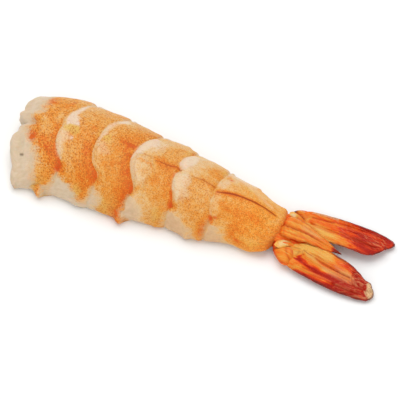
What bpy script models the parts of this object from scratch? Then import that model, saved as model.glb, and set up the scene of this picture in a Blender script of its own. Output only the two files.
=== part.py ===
"""A boiled sushi shrimp, shelled and opened flat along the belly, with its tail fan left on.

Metres, +Z up. The head end points to -X and the tail fan to +X, the back is up, and the cut belly
lies on the XY plane. The origin is the middle of the shrimp's footprint.
The shrimp's left side is at -Y and its right side at +Y.
"""

import math

import bmesh
import bpy

MM = 0.001

# ---------------------------------------------------------------- driving sizes, in millimetres

# The flesh: x runs from head end to tail along the middle of the back.
# (x, half width on the left, half width on the right, height of the back)
FLESH_STATIONS = (
    (-50.0, 18.0, 12.0, 6.2),
    (-46.0, 16.7, 12.9, 8.3),
    (-41.0, 15.8, 13.6, 9.5),
    (-34.0, 15.2, 13.5, 10.0),
    (-28.0, 15.1, 13.1, 10.1),
    (-21.0, 14.3, 12.1, 9.9),
    (-14.0, 13.2, 12.1, 9.7),
    (-8.0, 11.9, 11.2, 9.4),
    (0.0, 11.8, 10.2, 9.0),
    (6.0, 10.8, 8.9, 8.7),
    (12.0, 9.2, 8.1, 8.2),
    (18.0, 8.9, 6.4, 7.3),
    (22.3, 7.2, 5.4, 6.2),
)
FLESH_FRONT = FLESH_STATIONS[0][0]
FLESH_REAR = FLESH_STATIONS[-1][0]
WIDEST_HEIGHT = 1.5  # the flanks are widest this far above the board
EDGE_RADIUS = 1.5  # rounding of the flank's lower edge
REAR_LIFT = 1.2  # how far the belly rises at the tail joint

# The six rings of muscle. (front edge on the back, how far it sweeps towards the tail on the flanks)
SEGMENTS = ((-47.8, 4.6), (-39.6, 4.2), (-28.6, 3.5), (-18.7, 2.8), (-7.3, 1.4), (4.0, 0.0))
REAR_SWEEP = -1.2
SWEEP_PEAK = math.radians(60)  # the sweep is greatest at this angle round from the back
GROOVE_DEPTH = 0.4  # crease between two rings
GROOVE_WIDTH = 0.6
BACK_RISE = 0.3  # on the back, each ring's front stands this much prouder than its rear
FLANK_RISE = 0.45  # on the flanks, each ring's rear edge stands this much over the next ring

# Pointed lower corners of the rings' skin. (x before the sweep, how far it stands out)
LEFT_CORNERS = ((-40.1, 1.4), (-29.2, 0.3), (-18.3, 2.2), (-8.2, 0.3), (1.3, 0.7))
RIGHT_CORNERS = ((-38.5, 0.2), (-27.4, 0.5), (-17.5, 0.2), (-10.8, 0.5), (4.4, 0.6), (12.6, 0.3))
CORNER_ANGLES = (math.radians(86), math.radians(72))  # left, right
CORNER_SPREAD = math.radians(16)
CORNER_LENGTH = 1.7

# The cut head end, seen from above. (y, x)
FRONT_RIM = (
    (-18.2, -45.6),
    (-16.0, -46.9),
    (-12.5, -48.2),
    (-9.2, -50.4),
    (-6.0, -51.6),
    (-3.0, -51.2),
    (0.0, -52.4),
    (2.5, -53.4),
    (6.0, -53.5),
    (9.0, -52.6),
    (11.5, -50.0),
)
FRONT_BLEND = 10.0  # the slant of the cut fades out over this length
FRONT_BULGE = 1.8  # the cut face swells forward by this much
FRONT_CENTRE_HEIGHT = 2.8
NOTCH_Y = -1.3  # the two halves of the muscle part here
NOTCH_DEPTH = 2.2
NOTCH_WIDTH = 1.3

# Soft pads that the flesh's rear edge lays over the stems of the tail fan. (y, reach)
PADS = ((-4.9, 3.0), (4.0, 2.3))
PAD_WIDTH = 1.2
PAD_LENGTH = 1.6  # the flesh starts to draw out into them this far from its rear edge
PAD_HEIGHT = 3.4  # only flesh above this is drawn out

# The slit along the belly.
SLIT_DEPTH = 1.1
SLIT_HALF_WIDTH = 1.7
SLIT_ENDS = (-47.0, 12.0)
SLIT_FADE = 5.0

# Mesh density of the flesh.
BACK_STEPS = 28
EDGE_TURNS = (0.4, 0.75, 1.0)  # of a quarter turn
BELLY_SHARES = (0.72, 0.44)  # of the belly's half width, outside the slit
RING_OFFSETS = (0.0, 0.6, 1.5, 3.0)
RING_SPACING = 2.3
CAP_STEPS = 5

# Telson, the spike in the middle of the fan. (x, half width, top, underside)
TELSON = (
    (23.05, 2.6, 5.8, 4.0),
    (25.2, 3.1, 5.8, 3.9),
    (27.2, 2.9, 5.5, 3.8),
    (29.5, 2.4, 5.1, 3.7),
    (32.5, 1.8, 4.5, 3.4),
    (34.8, 1.35, 3.9, 3.0),
    (36.4, 0.7, 3.4, 2.7),
    (37.9, 0.2, 2.9, 2.4),
)
TELSON_Y = -0.5
TELSON_GROOVE = 0.4

# Stems that carry each pair of blades. (x, inner edge, outer edge, top, underside)
STEM = (
    (22.2, 3.2, 6.0, 3.5, 1.5),
    (23.4, 2.9, 7.3, 3.8, 1.1),
    (25.2, 3.0, 8.3, 3.9, 0.9),
    (26.5, 3.2, 8.6, 3.8, 0.9),
    (27.1, 3.6, 8.2, 3.6, 1.1),
)
STEM_SLOPE = 0.3

# Blades. (x, inner edge, outer edge, height of the crest)
INNER_BLADE = (
    (27.5, 2.3, 5.6, 3.7),
    (30.0, 1.0, 6.4, 3.8),
    (33.5, 0.9, 7.2, 3.8),
    (37.0, 1.7, 7.6, 3.7),
    (41.0, 2.4, 7.7, 3.5),
    (44.0, 3.4, 7.5, 3.3),
    (46.3, 4.9, 7.1, 3.1),
    (47.2, 5.7, 6.4, 3.0),
)
OUTER_BLADE = (
    (27.5, 6.0, 8.6, 2.2),
    (31.0, 4.6, 9.4, 2.1),
    (36.0, 4.2, 9.9, 2.0),
    (41.0, 4.2, 10.0, 1.8),
    (45.0, 4.8, 9.7, 1.6),
    (47.4, 5.2, 9.2, 1.5),
    (48.7, 5.8, 8.8, 1.4),
    (49.4, 6.6, 8.1, 1.4),
)
BLADE_THICKNESS = 0.75
BLADE_EDGE = 0.3
INNER_CAMBER = 0.7
OUTER_CAMBER = 0.45
RIB_HEIGHT = 0.25
RIB_WIDTH = 0.18  # as a share of the blade's half width
BLADE_ACROSS = 8
BLADE_ALONG = 14

# How each side of the fan lies: (side of the X axis, swing outwards in degrees, slide along X),
# with the swing of the inner blade given last.
SIDES = {"left": (-1, -0.6, 0.1, -0.6), "right": (1, 2.0, -0.9, 0.5)}
FAN_PIVOT = (23.0, 3.5)


# ---------------------------------------------------------------- small helpers


def smooth_step(low, high, value):
    t = min(max((value - low) / (high - low), 0.0), 1.0)
    return t * t * (3 - 2 * t)


def bump(value, width):
    return math.exp(-((value / width) ** 2))


def smooth_curve(points, x, column=1):
    """The value at x of a smooth curve through the points' first and given columns."""
    last = len(points) - 1
    if x <= points[0][0]:
        return points[0][column]
    if x >= points[last][0]:
        return points[last][column]
    i = max(k for k in range(last) if points[k][0] <= x)

    def slope(k):
        a, b = points[max(k - 1, 0)], points[min(k + 1, last)]
        return (b[column] - a[column]) / (b[0] - a[0])

    span = points[i + 1][0] - points[i][0]
    t = (x - points[i][0]) / span
    return (
        (2 * t**3 - 3 * t**2 + 1) * points[i][column]
        + (t**3 - 2 * t**2 + t) * span * slope(i)
        + (3 * t**2 - 2 * t**3) * points[i + 1][column]
        + (t**3 - t**2) * span * slope(i + 1)
    )


def spread(points, count):
    """Evenly spaced stations from a table's first x to its last."""
    first, last = points[0][0], points[-1][0]
    return [first + (last - first) * i / count for i in range(count + 1)]


def loft(name, rings, material):
    """One closed object through rings of points in millimetres. A ring of one point closes an end."""
    mesh = bmesh.new()
    rows = [[mesh.verts.new([c * MM for c in p]) for p in ring] for ring in rings]
    for first, second in zip(rows, rows[1:]):
        count = max(len(first), len(second))
        for i in range(count):
            j = (i + 1) % count
            if len(first) == 1:
                mesh.faces.new((first[0], second[i], second[j]))
            elif len(second) == 1:
                mesh.faces.new((first[i], second[0], first[j]))
            else:
                mesh.faces.new((first[i], second[i], second[j], first[j]))
    for row in (rows[0], rows[-1]):
        if len(row) > 1:
            mesh.faces.new(row)
    bmesh.ops.triangulate(mesh, faces=mesh.faces[:])
    bmesh.ops.recalc_face_normals(mesh, faces=mesh.faces[:])
    data = bpy.data.meshes.new(name)
    mesh.to_mesh(data)
    mesh.free()
    data.shade_smooth()
    data.materials.append(material)
    made = bpy.data.objects.new(name, data)
    PART.objects.link(made)
    made.parent = ROOT
    return made


def finish(name, colour, roughness):
    material = bpy.data.materials.new(name)
    material.use_nodes = True
    shader = material.node_tree.nodes["Principled BSDF"]
    shader.inputs["Base Color"].default_value = (*colour, 1.0)
    shader.inputs["Roughness"].default_value = roughness
    shader.inputs["Metallic"].default_value = 0.0
    return material


# ---------------------------------------------------------------- the flesh


def ring_edges():
    return [front for front, _ in SEGMENTS] + [FLESH_REAR]


def half_width(s, angle):
    return smooth_curve(FLESH_STATIONS, s, 1 if angle < 0 else 2)


def relief(s, angle):
    """How far the rings' skin stands over the plain dome, at s along the back and this angle round."""
    edges = ring_edges()
    height = -GROOVE_DEPTH * max(bump(s - edge, GROOVE_WIDTH) for edge in edges[1:-1])
    flank = math.sin(angle) ** 2
    for front, rear in zip(edges, edges[1:]):
        if front <= s < rear:
            share = (s - front) / (rear - front)
            height += (1 - flank) * BACK_RISE * (1 - smooth_step(0.15, 0.9, share))
            if rear != edges[-1]:
                height += flank * FLANK_RISE * share**2
    return height


def corner(s, angle):
    """How far the flank stands out at the pointed lower corners of the rings' skin."""
    side = 0 if angle < 0 else 1
    round_flank = bump(abs(angle) - CORNER_ANGLES[side], CORNER_SPREAD)
    out = 0.0
    for tip, reach in (LEFT_CORNERS, RIGHT_CORNERS)[side]:
        length = CORNER_LENGTH if s < tip else CORNER_LENGTH / 2.5
        out += reach * bump(s - tip, length) * round_flank
    return out


def sweep(s, y):
    """How far a point of the ring at s lies towards the tail of the ring's place on the back."""
    table = [*SEGMENTS, (FLESH_REAR, REAR_SWEEP)]
    share = min(abs(y) / half_width(s, y), 1.0)
    turn = math.asin(share) * math.radians(90) / SWEEP_PEAK
    return smooth_curve(table, s) * math.sin(turn) ** 2


def rim(y):
    """x of the cut head end at y, with the notch between its halves."""
    return smooth_curve(FRONT_RIM, y) + NOTCH_DEPTH * bump(y - NOTCH_Y, NOTCH_WIDTH)


def pad(s, y, z):
    """How far the flesh is drawn out over the tail fan."""
    reach = max(length * bump(y - middle, PAD_WIDTH) for middle, length in PADS)
    reach *= smooth_step(PAD_HEIGHT, PAD_HEIGHT + 1, z)
    return reach * smooth_step(FLESH_REAR - PAD_LENGTH, FLESH_REAR, s)


def placed(s, y, z):
    """The point of ring s at y and z: x follows the ring's sweep, and at the head end the rim."""
    fade = 1 - smooth_step(FLESH_FRONT, FLESH_FRONT + FRONT_BLEND, s)
    x = s + sweep(s, y)
    x += fade * (rim(y) + FRONT_BULGE - FLESH_FRONT - sweep(FLESH_FRONT, y))
    x += pad(s, y, z)
    lift = REAR_LIFT * smooth_step(FLESH_REAR - 6, FLESH_REAR, s)
    z += lift * max(0.0, 1 - z / smooth_curve(FLESH_STATIONS, s, 3))
    return (x, y, z)


def back_point(s, angle):
    """A point on the dome. The angle runs from the middle of the back to a quarter turn each way."""
    out = relief(s, angle)
    height = smooth_curve(FLESH_STATIONS, s, 3)
    y = (half_width(s, angle) + out) * math.sin(angle)
    z = WIDEST_HEIGHT + (height - WIDEST_HEIGHT + out) * math.cos(angle)
    return placed(s, y + math.copysign(corner(s, angle), angle), z)


def slit(s, y):
    along = smooth_step(SLIT_ENDS[0], SLIT_ENDS[0] + SLIT_FADE, s)
    along *= smooth_step(SLIT_ENDS[1], SLIT_ENDS[1] - SLIT_FADE, s)
    return SLIT_DEPTH * along * max(0.0, 1 - abs(y) / SLIT_HALF_WIDTH)


def under_points(s, side):
    """Points from the widest part of one flank, round its lower edge, to the side of the slit."""
    quarter = side * math.pi / 2
    widest = half_width(s, quarter) + relief(s, quarter) + corner(s, quarter)
    points = []
    for turn in EDGE_TURNS:
        inset = EDGE_RADIUS * (1 - math.cos(turn * math.pi / 2))
        z = WIDEST_HEIGHT * (1 - math.sin(turn * math.pi / 2))
        points.append(placed(s, side * (widest - inset), z))
    belly = widest - EDGE_RADIUS
    points += [placed(s, side * belly * share, 0.0) for share in BELLY_SHARES]
    points.append(placed(s, side * SLIT_HALF_WIDTH, 0.0))
    return points


def section(s):
    """The ring at s: over the back from left to right, then back along the belly."""
    angles = [math.pi * (i / BACK_STEPS - 0.5) for i in range(BACK_STEPS + 1)]
    middle = placed(s, 0.0, slit(s, 0.0))
    back = [back_point(s, a) for a in angles]
    return back + under_points(s, 1) + [middle] + under_points(s, -1)[::-1]


def stations():
    """Places along the back, closer together at each crease."""
    edges = ring_edges()
    places = [FLESH_FRONT, FLESH_FRONT + 1.1]
    for front, rear in zip(edges, edges[1:]):
        places += [front + offset for offset in RING_OFFSETS]
        first = front + RING_OFFSETS[-1]
        last = rear - (0.7 if rear < FLESH_REAR else 2 * PAD_LENGTH)
        steps = round((last - first) / RING_SPACING)
        places += [first + (last - first) * (i + 1) / steps for i in range(steps)]
    return places + [FLESH_REAR - PAD_LENGTH, FLESH_REAR]


def head_cap(ring):
    """Rings that round off the cut head end. Each follows the rim at its own width."""
    rings = []
    for i in range(1, CAP_STEPS + 1):
        turn = math.pi / 2 * i / CAP_STEPS
        shrink = math.sqrt(max(math.cos(turn), 0.0))
        back_by = FRONT_BULGE * (1 - math.sin(turn))
        points = []
        for _, y, z in ring:
            y = y * shrink
            z = FRONT_CENTRE_HEIGHT + (z - FRONT_CENTRE_HEIGHT) * shrink
            points.append((rim(y) + back_by, y, z))
        rings.append(points)
    rings[-1] = [(rim(0.0), 0.0, FRONT_CENTRE_HEIGHT)]
    return rings


def rear_cap(ring):
    """Two smaller rings and a point, which round off the joint with the tail behind the pads."""
    centre_z = sum(p[2] for p in ring) / len(ring)
    rings = []
    for shrink, bulge in ((0.9, 0.2), (0.65, 0.35)):
        points = []
        for _, y, z in ring:
            x = FLESH_REAR + sweep(FLESH_REAR, y * shrink) + bulge
            points.append((x, y * shrink, centre_z + (z - centre_z) * shrink))
        rings.append(points)
    return rings + [[(FLESH_REAR + 0.4, 0.0, centre_z)]]


def make_flesh():
    rings = [section(s) for s in stations()]
    rings = head_cap(rings[0])[::-1] + rings + rear_cap(rings[-1])
    return loft("flesh", rings, finish("flesh", (0.86, 0.42, 0.13), 0.45))


# ---------------------------------------------------------------- the tail fan


def swung(point, side):
    """The point on the given side, after its half of the fan has swung and slid into place."""
    sign, degrees, slide = side[:3]
    x, y, z = point
    turn = math.radians(degrees)
    dx, dy = x - FAN_PIVOT[0], y - FAN_PIVOT[1]
    x = FAN_PIVOT[0] + dx * math.cos(turn) - dy * math.sin(turn)
    y = FAN_PIVOT[1] + dx * math.sin(turn) + dy * math.cos(turn)
    return (x + slide * smooth_step(27.3, 45, x), sign * y, z)


def make_telson(shell):
    across = [-1 + i / 3 for i in range(7)]
    rings = []
    for x in spread(TELSON, 12):
        half, top, under = (smooth_curve(TELSON, x, k) for k in (1, 2, 3))
        edge = (top + under) / 2
        groove = TELSON_GROOVE * smooth_step(TELSON[-1][0], TELSON[-1][0] - 8, x)
        upper = []
        lower = []
        for v in across:
            arch = 1 - abs(v) ** 2.2
            crease = groove * bump(v, 0.28)
            y = TELSON_Y + half * v
            upper.append((x, y, edge + 0.12 + (top - edge - 0.12) * arch - crease))
            lower.append((x, y, edge - 0.12 - (edge - under - 0.12) * arch))
        rings.append(upper + lower[::-1])
    return loft("telson", rings, shell)


def make_stem(name, side, shell):
    count = 14
    rings = []
    for x in spread(STEM, 6):
        inner, outer, top, under = (smooth_curve(STEM, x, k) for k in (1, 2, 3, 4))
        middle, half = (inner + outer) / 2, (outer - inner) / 2
        ring = []
        for i in range(count):
            turn = 2 * math.pi * i / count
            across = math.copysign(abs(math.cos(turn)) ** 0.8, math.cos(turn))
            z = (top + under) / 2 + (top - under) / 2 * math.sin(turn) - STEM_SLOPE * across
            ring.append(swung((x, middle + half * across, z), side))
        rings.append(ring)
    return loft(name, rings, shell)


def make_blade(name, table, camber, rib_place, side, shell):
    """A thin arched plate with one rib. v runs from -1 at its inner edge to 1 at its outer edge."""
    across = [-1 + 2 * i / BLADE_ACROSS for i in range(BLADE_ACROSS + 1)]
    rings = []
    for x in spread(table, BLADE_ALONG):
        inner, outer, crest = (smooth_curve(table, x, k) for k in (1, 2, 3))
        upper = []
        lower = []
        for v in across:
            y = inner + (outer - inner) * (v + 1) / 2
            z = crest - camber * v * v - RIB_HEIGHT * (1 - bump(v - rib_place, RIB_WIDTH))
            depth = BLADE_EDGE + (BLADE_THICKNESS - BLADE_EDGE) * (1 - v**4)
            upper.append(swung((x, y, z), side))
            lower.append(swung((x, y, z - depth), side))
        rings.append(upper + lower[::-1])
    return loft(name, rings, shell)


def make_fan():
    shell = finish("tail shell", (0.72, 0.13, 0.03), 0.3)
    make_telson(shell)
    for name, side in SIDES.items():
        make_stem(f"stem_{name}", side, shell)
        sign, _, slide, inner_swing = side
        inner_side = (sign, inner_swing, slide)
        make_blade(f"inner_blade_{name}", INNER_BLADE, INNER_CAMBER, -0.1, inner_side, shell)
        make_blade(f"outer_blade_{name}", OUTER_BLADE, OUTER_CAMBER, 0.55, side, shell)


def centre_on_origin(objects):
    """Moves the parent empty so that the middle of the shrimp's footprint is the origin."""
    points = [v.co for o in objects for v in o.data.vertices]
    for axis in (0, 1):
        values = [p[axis] for p in points]
        ROOT.location[axis] = -(min(values) + max(values)) / 2


for old in list(bpy.data.objects):
    bpy.data.objects.remove(old)
PART = bpy.data.collections.new("sushi_shrimp")
bpy.context.scene.collection.children.link(PART)
ROOT = bpy.data.objects.new("shrimp_root", None)
PART.objects.link(ROOT)

make_flesh()
make_fan()
centre_on_origin([o for o in PART.objects if o.type == "MESH"])
bpy.context.view_layer.update()
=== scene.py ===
"""Looks for the boiled sushi shrimp: soft ringed flesh, glossy tail shell, pale board and soft light.

The shrimp is worked out in millimetres on a drawing whose X axis runs along the middle of the back.
FRAME_SHIFT takes a point of the drawing to its place in the frame. Its left side is at -Y.
"""

import math
from collections import namedtuple

import bpy
import numpy as np
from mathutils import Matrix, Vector, noise


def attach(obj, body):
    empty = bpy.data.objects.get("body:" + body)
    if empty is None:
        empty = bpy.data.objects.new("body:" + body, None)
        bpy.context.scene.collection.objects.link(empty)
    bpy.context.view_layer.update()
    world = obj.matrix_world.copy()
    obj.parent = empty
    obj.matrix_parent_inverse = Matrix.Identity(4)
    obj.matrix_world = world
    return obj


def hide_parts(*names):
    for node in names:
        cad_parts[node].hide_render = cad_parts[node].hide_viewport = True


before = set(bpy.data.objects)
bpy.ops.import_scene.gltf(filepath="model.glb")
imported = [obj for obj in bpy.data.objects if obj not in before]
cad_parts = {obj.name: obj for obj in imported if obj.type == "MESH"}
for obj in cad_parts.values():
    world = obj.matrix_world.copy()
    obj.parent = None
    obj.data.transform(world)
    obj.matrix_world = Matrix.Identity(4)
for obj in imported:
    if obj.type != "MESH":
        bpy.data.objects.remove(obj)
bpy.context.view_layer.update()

MM = 0.001
FRAME_SHIFT = np.array((1.977, 2.039, 0.0))

# ---------------------------------------------------------------- the drawing's sizes, in millimetres

# The flesh. (x, half width on the left, half width on the right, height of the back)
FLESH = (
    (-50.0, 18.0, 12.0, 6.2),
    (-46.0, 16.7, 14.0, 8.3),
    (-41.0, 15.8, 13.8, 9.5),
    (-34.0, 15.2, 13.5, 10.0),
    (-28.0, 15.1, 13.1, 10.1),
    (-21.0, 14.3, 12.1, 9.9),
    (-14.0, 13.2, 12.1, 9.7),
    (-8.0, 11.9, 11.2, 9.4),
    (0.0, 11.8, 10.2, 9.0),
    (6.0, 10.8, 8.9, 8.7),
    (12.0, 9.2, 8.1, 8.2),
    (18.0, 8.9, 6.4, 7.3),
    (22.3, 7.2, 5.4, 6.2),
)
HEAD_END = FLESH[0][0]
TAIL_JOINT = FLESH[-1][0]
WIDEST_HEIGHT = 1.5
EDGE_RADIUS = 1.5
REAR_LIFT = 1.2
FLANK_RADIUS = 11.0  # one radian round the flesh is about this far
BACK_SHARE = 0.64  # of the way round from the middle of the back; then come the lower edge and the belly
EDGE_SHARE = 0.72
SLIT_HEIGHT = 1.1  # the slit along the middle of the belly
SLIT_HALF = 1.7

# The rings of muscle: (front edge on the back, how far it sweeps towards the tail on the flanks)
RINGS = ((-47.8, 4.6), (-39.6, 4.2), (-28.6, 3.5), (-18.7, 2.8), (-7.3, 1.4), (4.0, 0.0))
RING_EDGES = [front for front, _ in RINGS] + [TAIL_JOINT]
REAR_SWEEP = -1.2
SWEEP_PEAK = math.radians(60)

# How far each inner ring's front edge strays along the back: (degrees round, left negative; millimetres)
RING_DRIFTS = (
    (
        (-112, 0.4), (-88, 0.4), (-76, 0.1), (-66, 0.1), (-57, 0.3), (-51, 0.9), (-46, 1.5), (-40, 1.6),
        (-35, 1.3), (-30, 0.8), (-25, 0.1), (-18, -0.3), (-10, -0.2), (0, -0.1), (8, -1.0), (16, -1.4),
        (28, -1.7), (42, -2.0), (60, -1.4), (112, -1.0),
    ),
    (
        (-112, 0.0), (-60, 0.2), (-49, 0.8), (-42, 1.4), (-37, 1.4), (-34, 0.9), (-30, 0.1), (-25, -0.5),
        (-16, -0.8), (0, -0.8), (7, -0.9), (16, -1.5), (24, -2.0), (33, -2.2), (45, -1.7), (56, -1.3),
        (112, -1.0),
    ),
    (
        (-112, 2.2), (-88, 2.2), (-80, 1.6), (-72, 1.0), (-64, 0.1), (-56, 0.2), (-50, 0.9), (-44, 1.7),
        (-38, 1.7), (-32, 1.3), (-23, 0.4), (-17, -0.1), (-10, -0.5), (-3, -0.5), (5, -0.3), (13, -0.4),
        (25, -0.7), (45, -0.6), (112, -0.5),
    ),
    (
        (-112, 0.8), (-72, 1.0), (-63, 0.8), (-55, 1.1), (-48, 1.9), (-42, 1.8), (-34, 1.4), (-27, 0.9),
        (-18, 0.4), (-10, 0.2), (-2, 0.4), (4, 0.8), (10, -0.1), (16, -0.7), (28, -0.7), (40, -0.3),
        (112, 0.0),
    ),
    (
        (-112, 0.9), (-68, 1.2), (-60, 1.3), (-53, 1.7), (-46, 1.9), (-39, 1.3), (-31, 0.5), (-22, 0.0),
        (-13, -0.1), (-4, -0.6), (5, -0.4), (15, -0.5), (43, 0.0), (65, -0.8), (112, -0.8),
    ),
)

# The pointed lower corners of the rings' skin: the side, how many degrees round they are,
# and for each one its place along the back and how far it stands out.
CORNERS = (
    (-1, 86, ((-39.5, 1.8), (-29.2, 0.3), (-16.9, 1.9), (-8.2, 0.3), (1.3, 0.7))),
    (1, 72, ((-39.6, 0.1), (-28.9, 0.3), (-17.5, 0.1), (-10.8, 0.4), (4.4, 0.4), (12.6, 0.3))),
)
CORNER_SPAN = math.radians(16)
DRIFT_REACH = 3.5  # either way of a ring's edge

# The flesh's relief
CREASE_DEPTH, CREASE_WIDTH = 0.4, 0.6  # between two rings
RING_SWELL = 0.3  # behind a ring's front edge, on the back
REAR_RISE = (0.45, 0.2)  # of a ring's rear edge, on the left and right flanks
PLUMPNESS = (0.15, 0.25, 0.35, 0.3, 0.1)  # of each ring but the first, on the back
PLUMP_LENGTH = 5.5
SKIN_STEP = 0.14  # from the white muscle up to the orange skin
LINE_DEPTH = 0.08

# The cut head end, seen from above. (y, x)
CUT = (
    (-18.2, -46.0), (-16.0, -47.2), (-12.5, -48.2), (-9.2, -50.4), (-6.0, -51.6), (-3.0, -51.2),
    (0.0, -52.4), (2.5, -53.4), (6.0, -53.5), (9.0, -52.6), (11.5, -50.0),
)
CUT_BLEND = 10.0
CUT_BULGE = 1.8
CUT_CENTRE = 2.8
JOINT_BULGE = 0.6
JOINT_CENTRE = 3.6

# How each half of the fan lies: its side of the X axis, its swing outwards in degrees, its slide
# along X, and the swing of its inner blade.
Half = namedtuple("Half", "sign swing slide inner_swing")
NEAR_HALF = Half(-1, -0.6, 0.1, -0.6)
FAR_HALF = Half(1, 2.0, -0.9, 0.5)
FAN_PIVOT = (23.0, 3.5)
SLIDE_FROM, SLIDE_TO = 27.3, 45.0  # the slide grows between these
BLADE_WALL = 0.6
BLADE_ARCH = 0.5

# ---------------------------------------------------------------- small helpers for shapes


def step(low, high, x):
    t = np.clip((x - low) / (high - low), 0.0, 1.0)
    return t * t * (3 - 2 * t)


def bump(x, width):
    return np.exp(-((x / width) ** 2))


def curve(points, x, column=1):
    """The values at x of a smooth curve through the points' first and given columns."""
    table = np.array(points, float)
    xs, ys = table[:, 0], table[:, column]
    low, high = np.maximum(np.arange(len(xs)) - 1, 0), np.minimum(np.arange(len(xs)) + 1, len(xs) - 1)
    slopes = (ys[high] - ys[low]) / (xs[high] - xs[low])
    x = np.clip(x, xs[0], xs[-1])
    i = np.clip(np.searchsorted(xs, x, side="right") - 1, 0, len(xs) - 2)
    span = xs[i + 1] - xs[i]
    t = (x - xs[i]) / span
    return (
        (2 * t**3 - 3 * t**2 + 1) * ys[i]
        + (t**3 - 2 * t**2 + t) * span * slopes[i]
        + (3 * t**2 - 2 * t**3) * ys[i + 1]
        + (t**3 - t**2) * span * slopes[i + 1]
    )


def lumps(x, y, z, size):
    """Soft random lumps between about -1 and 1, one every size millimetres; z may be one number."""
    spots = np.broadcast_arrays(x / size, y / size, z / size)
    return np.array([noise.noise(Vector(spot)) for spot in zip(*spots)])


def line_distance(points, x, y):
    """How far each place is from a line through the points."""
    best = np.full(np.shape(x), 1e9)
    for (ax, ay), (bx, by) in zip(points, points[1:]):
        length = (bx - ax) ** 2 + (by - ay) ** 2
        t = np.clip(((x - ax) * (bx - ax) + (y - ay) * (by - ay)) / length, 0.0, 1.0)
        best = np.minimum(best, np.hypot(x - ax - t * (bx - ax), y - ay - t * (by - ay)))
    return best


def inside(corners, x, y):
    """How far inside a patch with these corners each place is; negative outside it."""
    loop = [*corners, corners[0]]
    within = np.zeros(np.shape(x), bool)
    for (ax, ay), (bx, by) in zip(loop, loop[1:]):
        if ay != by:
            within ^= ((ay > y) != (by > y)) & (x < ax + (y - ay) * (bx - ax) / (by - ay))
    away = line_distance(loop, x, y)
    return np.where(within, away, -away)


def outlined(table, x, y, join=np.maximum):
    """The outlined patches at each place: (strength, softness in millimetres, corners)."""
    total = np.zeros_like(x)
    for strength, soft, corners in table:
        total = join(total, strength * step(-soft, soft, inside(corners, x, y)))
    return total


# ---------------------------------------------------------------- modelling


def start_piece(name):
    piece = bpy.context.object
    piece.name = piece.data.name = name
    return piece


def pick(piece):
    """Makes the piece the only selected one."""
    bpy.ops.object.select_all(action="DESELECT")
    piece.select_set(True)
    bpy.context.view_layer.objects.active = piece


def tube(name, around, along, rings_front, rings_rear):
    """A closed tube along X, one long and one in radius, with ringed ends drawn to a point.

    along holds the parts that its length is cut into, and then the parts of each of those, because one
    subdivide makes 100 cuts at most.
    """
    bpy.ops.object.select_all(action="DESELECT")
    bpy.ops.mesh.primitive_cylinder_add(vertices=around, radius=1, depth=1, end_fill_type="NGON")
    piece = start_piece(name)
    piece.rotation_euler = (0, math.radians(90), 0)
    bpy.ops.object.transform_apply(location=False, rotation=True, scale=False)
    bpy.ops.object.mode_set(mode="EDIT")
    bpy.ops.mesh.select_mode(type="EDGE")
    for parts in along:
        choose(piece, edges=lambda a, b: abs(a.x - b.x) > 1e-4)
        bpy.ops.mesh.subdivide(number_cuts=parts - 1)
    for end, rings in ((-0.5, rings_front), (0.5, rings_rear)):
        bpy.ops.mesh.select_mode(type="FACE")
        choose(piece, faces=lambda f: len(f.vertices) > 4 and abs(f.center.x - end) < 1e-4)
        for _ in range(rings - 1):
            bpy.ops.mesh.inset(thickness=1 / rings, use_boundary=True)
        bpy.ops.mesh.poke()
    bpy.ops.object.mode_set(mode="OBJECT")
    return piece


def sheet(name, along, across):
    """A flat grid, x from 0 to 1 and y from -1 to 1."""
    bpy.ops.object.select_all(action="DESELECT")
    bpy.ops.mesh.primitive_grid_add(x_subdivisions=along, y_subdivisions=across, size=1)
    piece = start_piece(name)
    bpy.ops.object.mode_set(mode="EDIT")
    bpy.ops.mesh.select_all(action="SELECT")
    bpy.ops.transform.translate(value=(0.5, 0, 0))
    bpy.ops.transform.resize(value=(1, 2, 1), center_override=(0, 0, 0))
    bpy.ops.object.mode_set(mode="OBJECT")
    return piece


def choose(piece, edges=None, faces=None):
    """Selects only the edges or faces for which the test holds."""
    bpy.ops.mesh.select_all(action="DESELECT")
    bpy.ops.object.mode_set(mode="OBJECT")
    mesh = piece.data
    if edges:
        for edge in mesh.edges:
            a, b = (mesh.vertices[i].co for i in edge.vertices)
            edge.select = edges(a, b)
    if faces:
        for face in mesh.polygons:
            face.select = faces(face)
    bpy.ops.object.mode_set(mode="EDIT")


def places_of(piece):
    """The places of the piece's vertices, one row each."""
    flat = np.empty(len(piece.data.vertices) * 3)
    piece.data.vertices.foreach_get("co", flat)
    return flat.reshape(-1, 3)


def put(piece, points):
    """Moves the piece's vertices to these places, given in millimetres."""
    piece.data.vertices.foreach_set("co", (points * MM).ravel())
    piece.data.update()


def note(piece, names, run, **values):
    """Stores at each vertex its place in the material's patterns, run, and its named values or 0."""
    zero = np.zeros(len(run))
    for name in names:
        layer = piece.data.attributes.new(name, "FLOAT", "POINT")
        layer.data.foreach_set("value", values.pop(name, zero))
    assert not values
    layer = piece.data.attributes.new("run", "FLOAT_VECTOR", "POINT")
    layer.data.foreach_set("vector", run.ravel())


def done(piece, material, slot, *nodes):
    """Smooths the finished piece and hands it over to the frame."""
    piece.data.materials.clear()
    piece.data.materials.append(material)
    piece.data.shade_smooth()
    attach(piece, "root")
    if nodes:
        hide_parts(*nodes)


# ---------------------------------------------------------------- the flesh: shape


def half_width(s, side):
    return np.where(side < 0, curve(FLESH, s, 1), curve(FLESH, s, 2))


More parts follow.
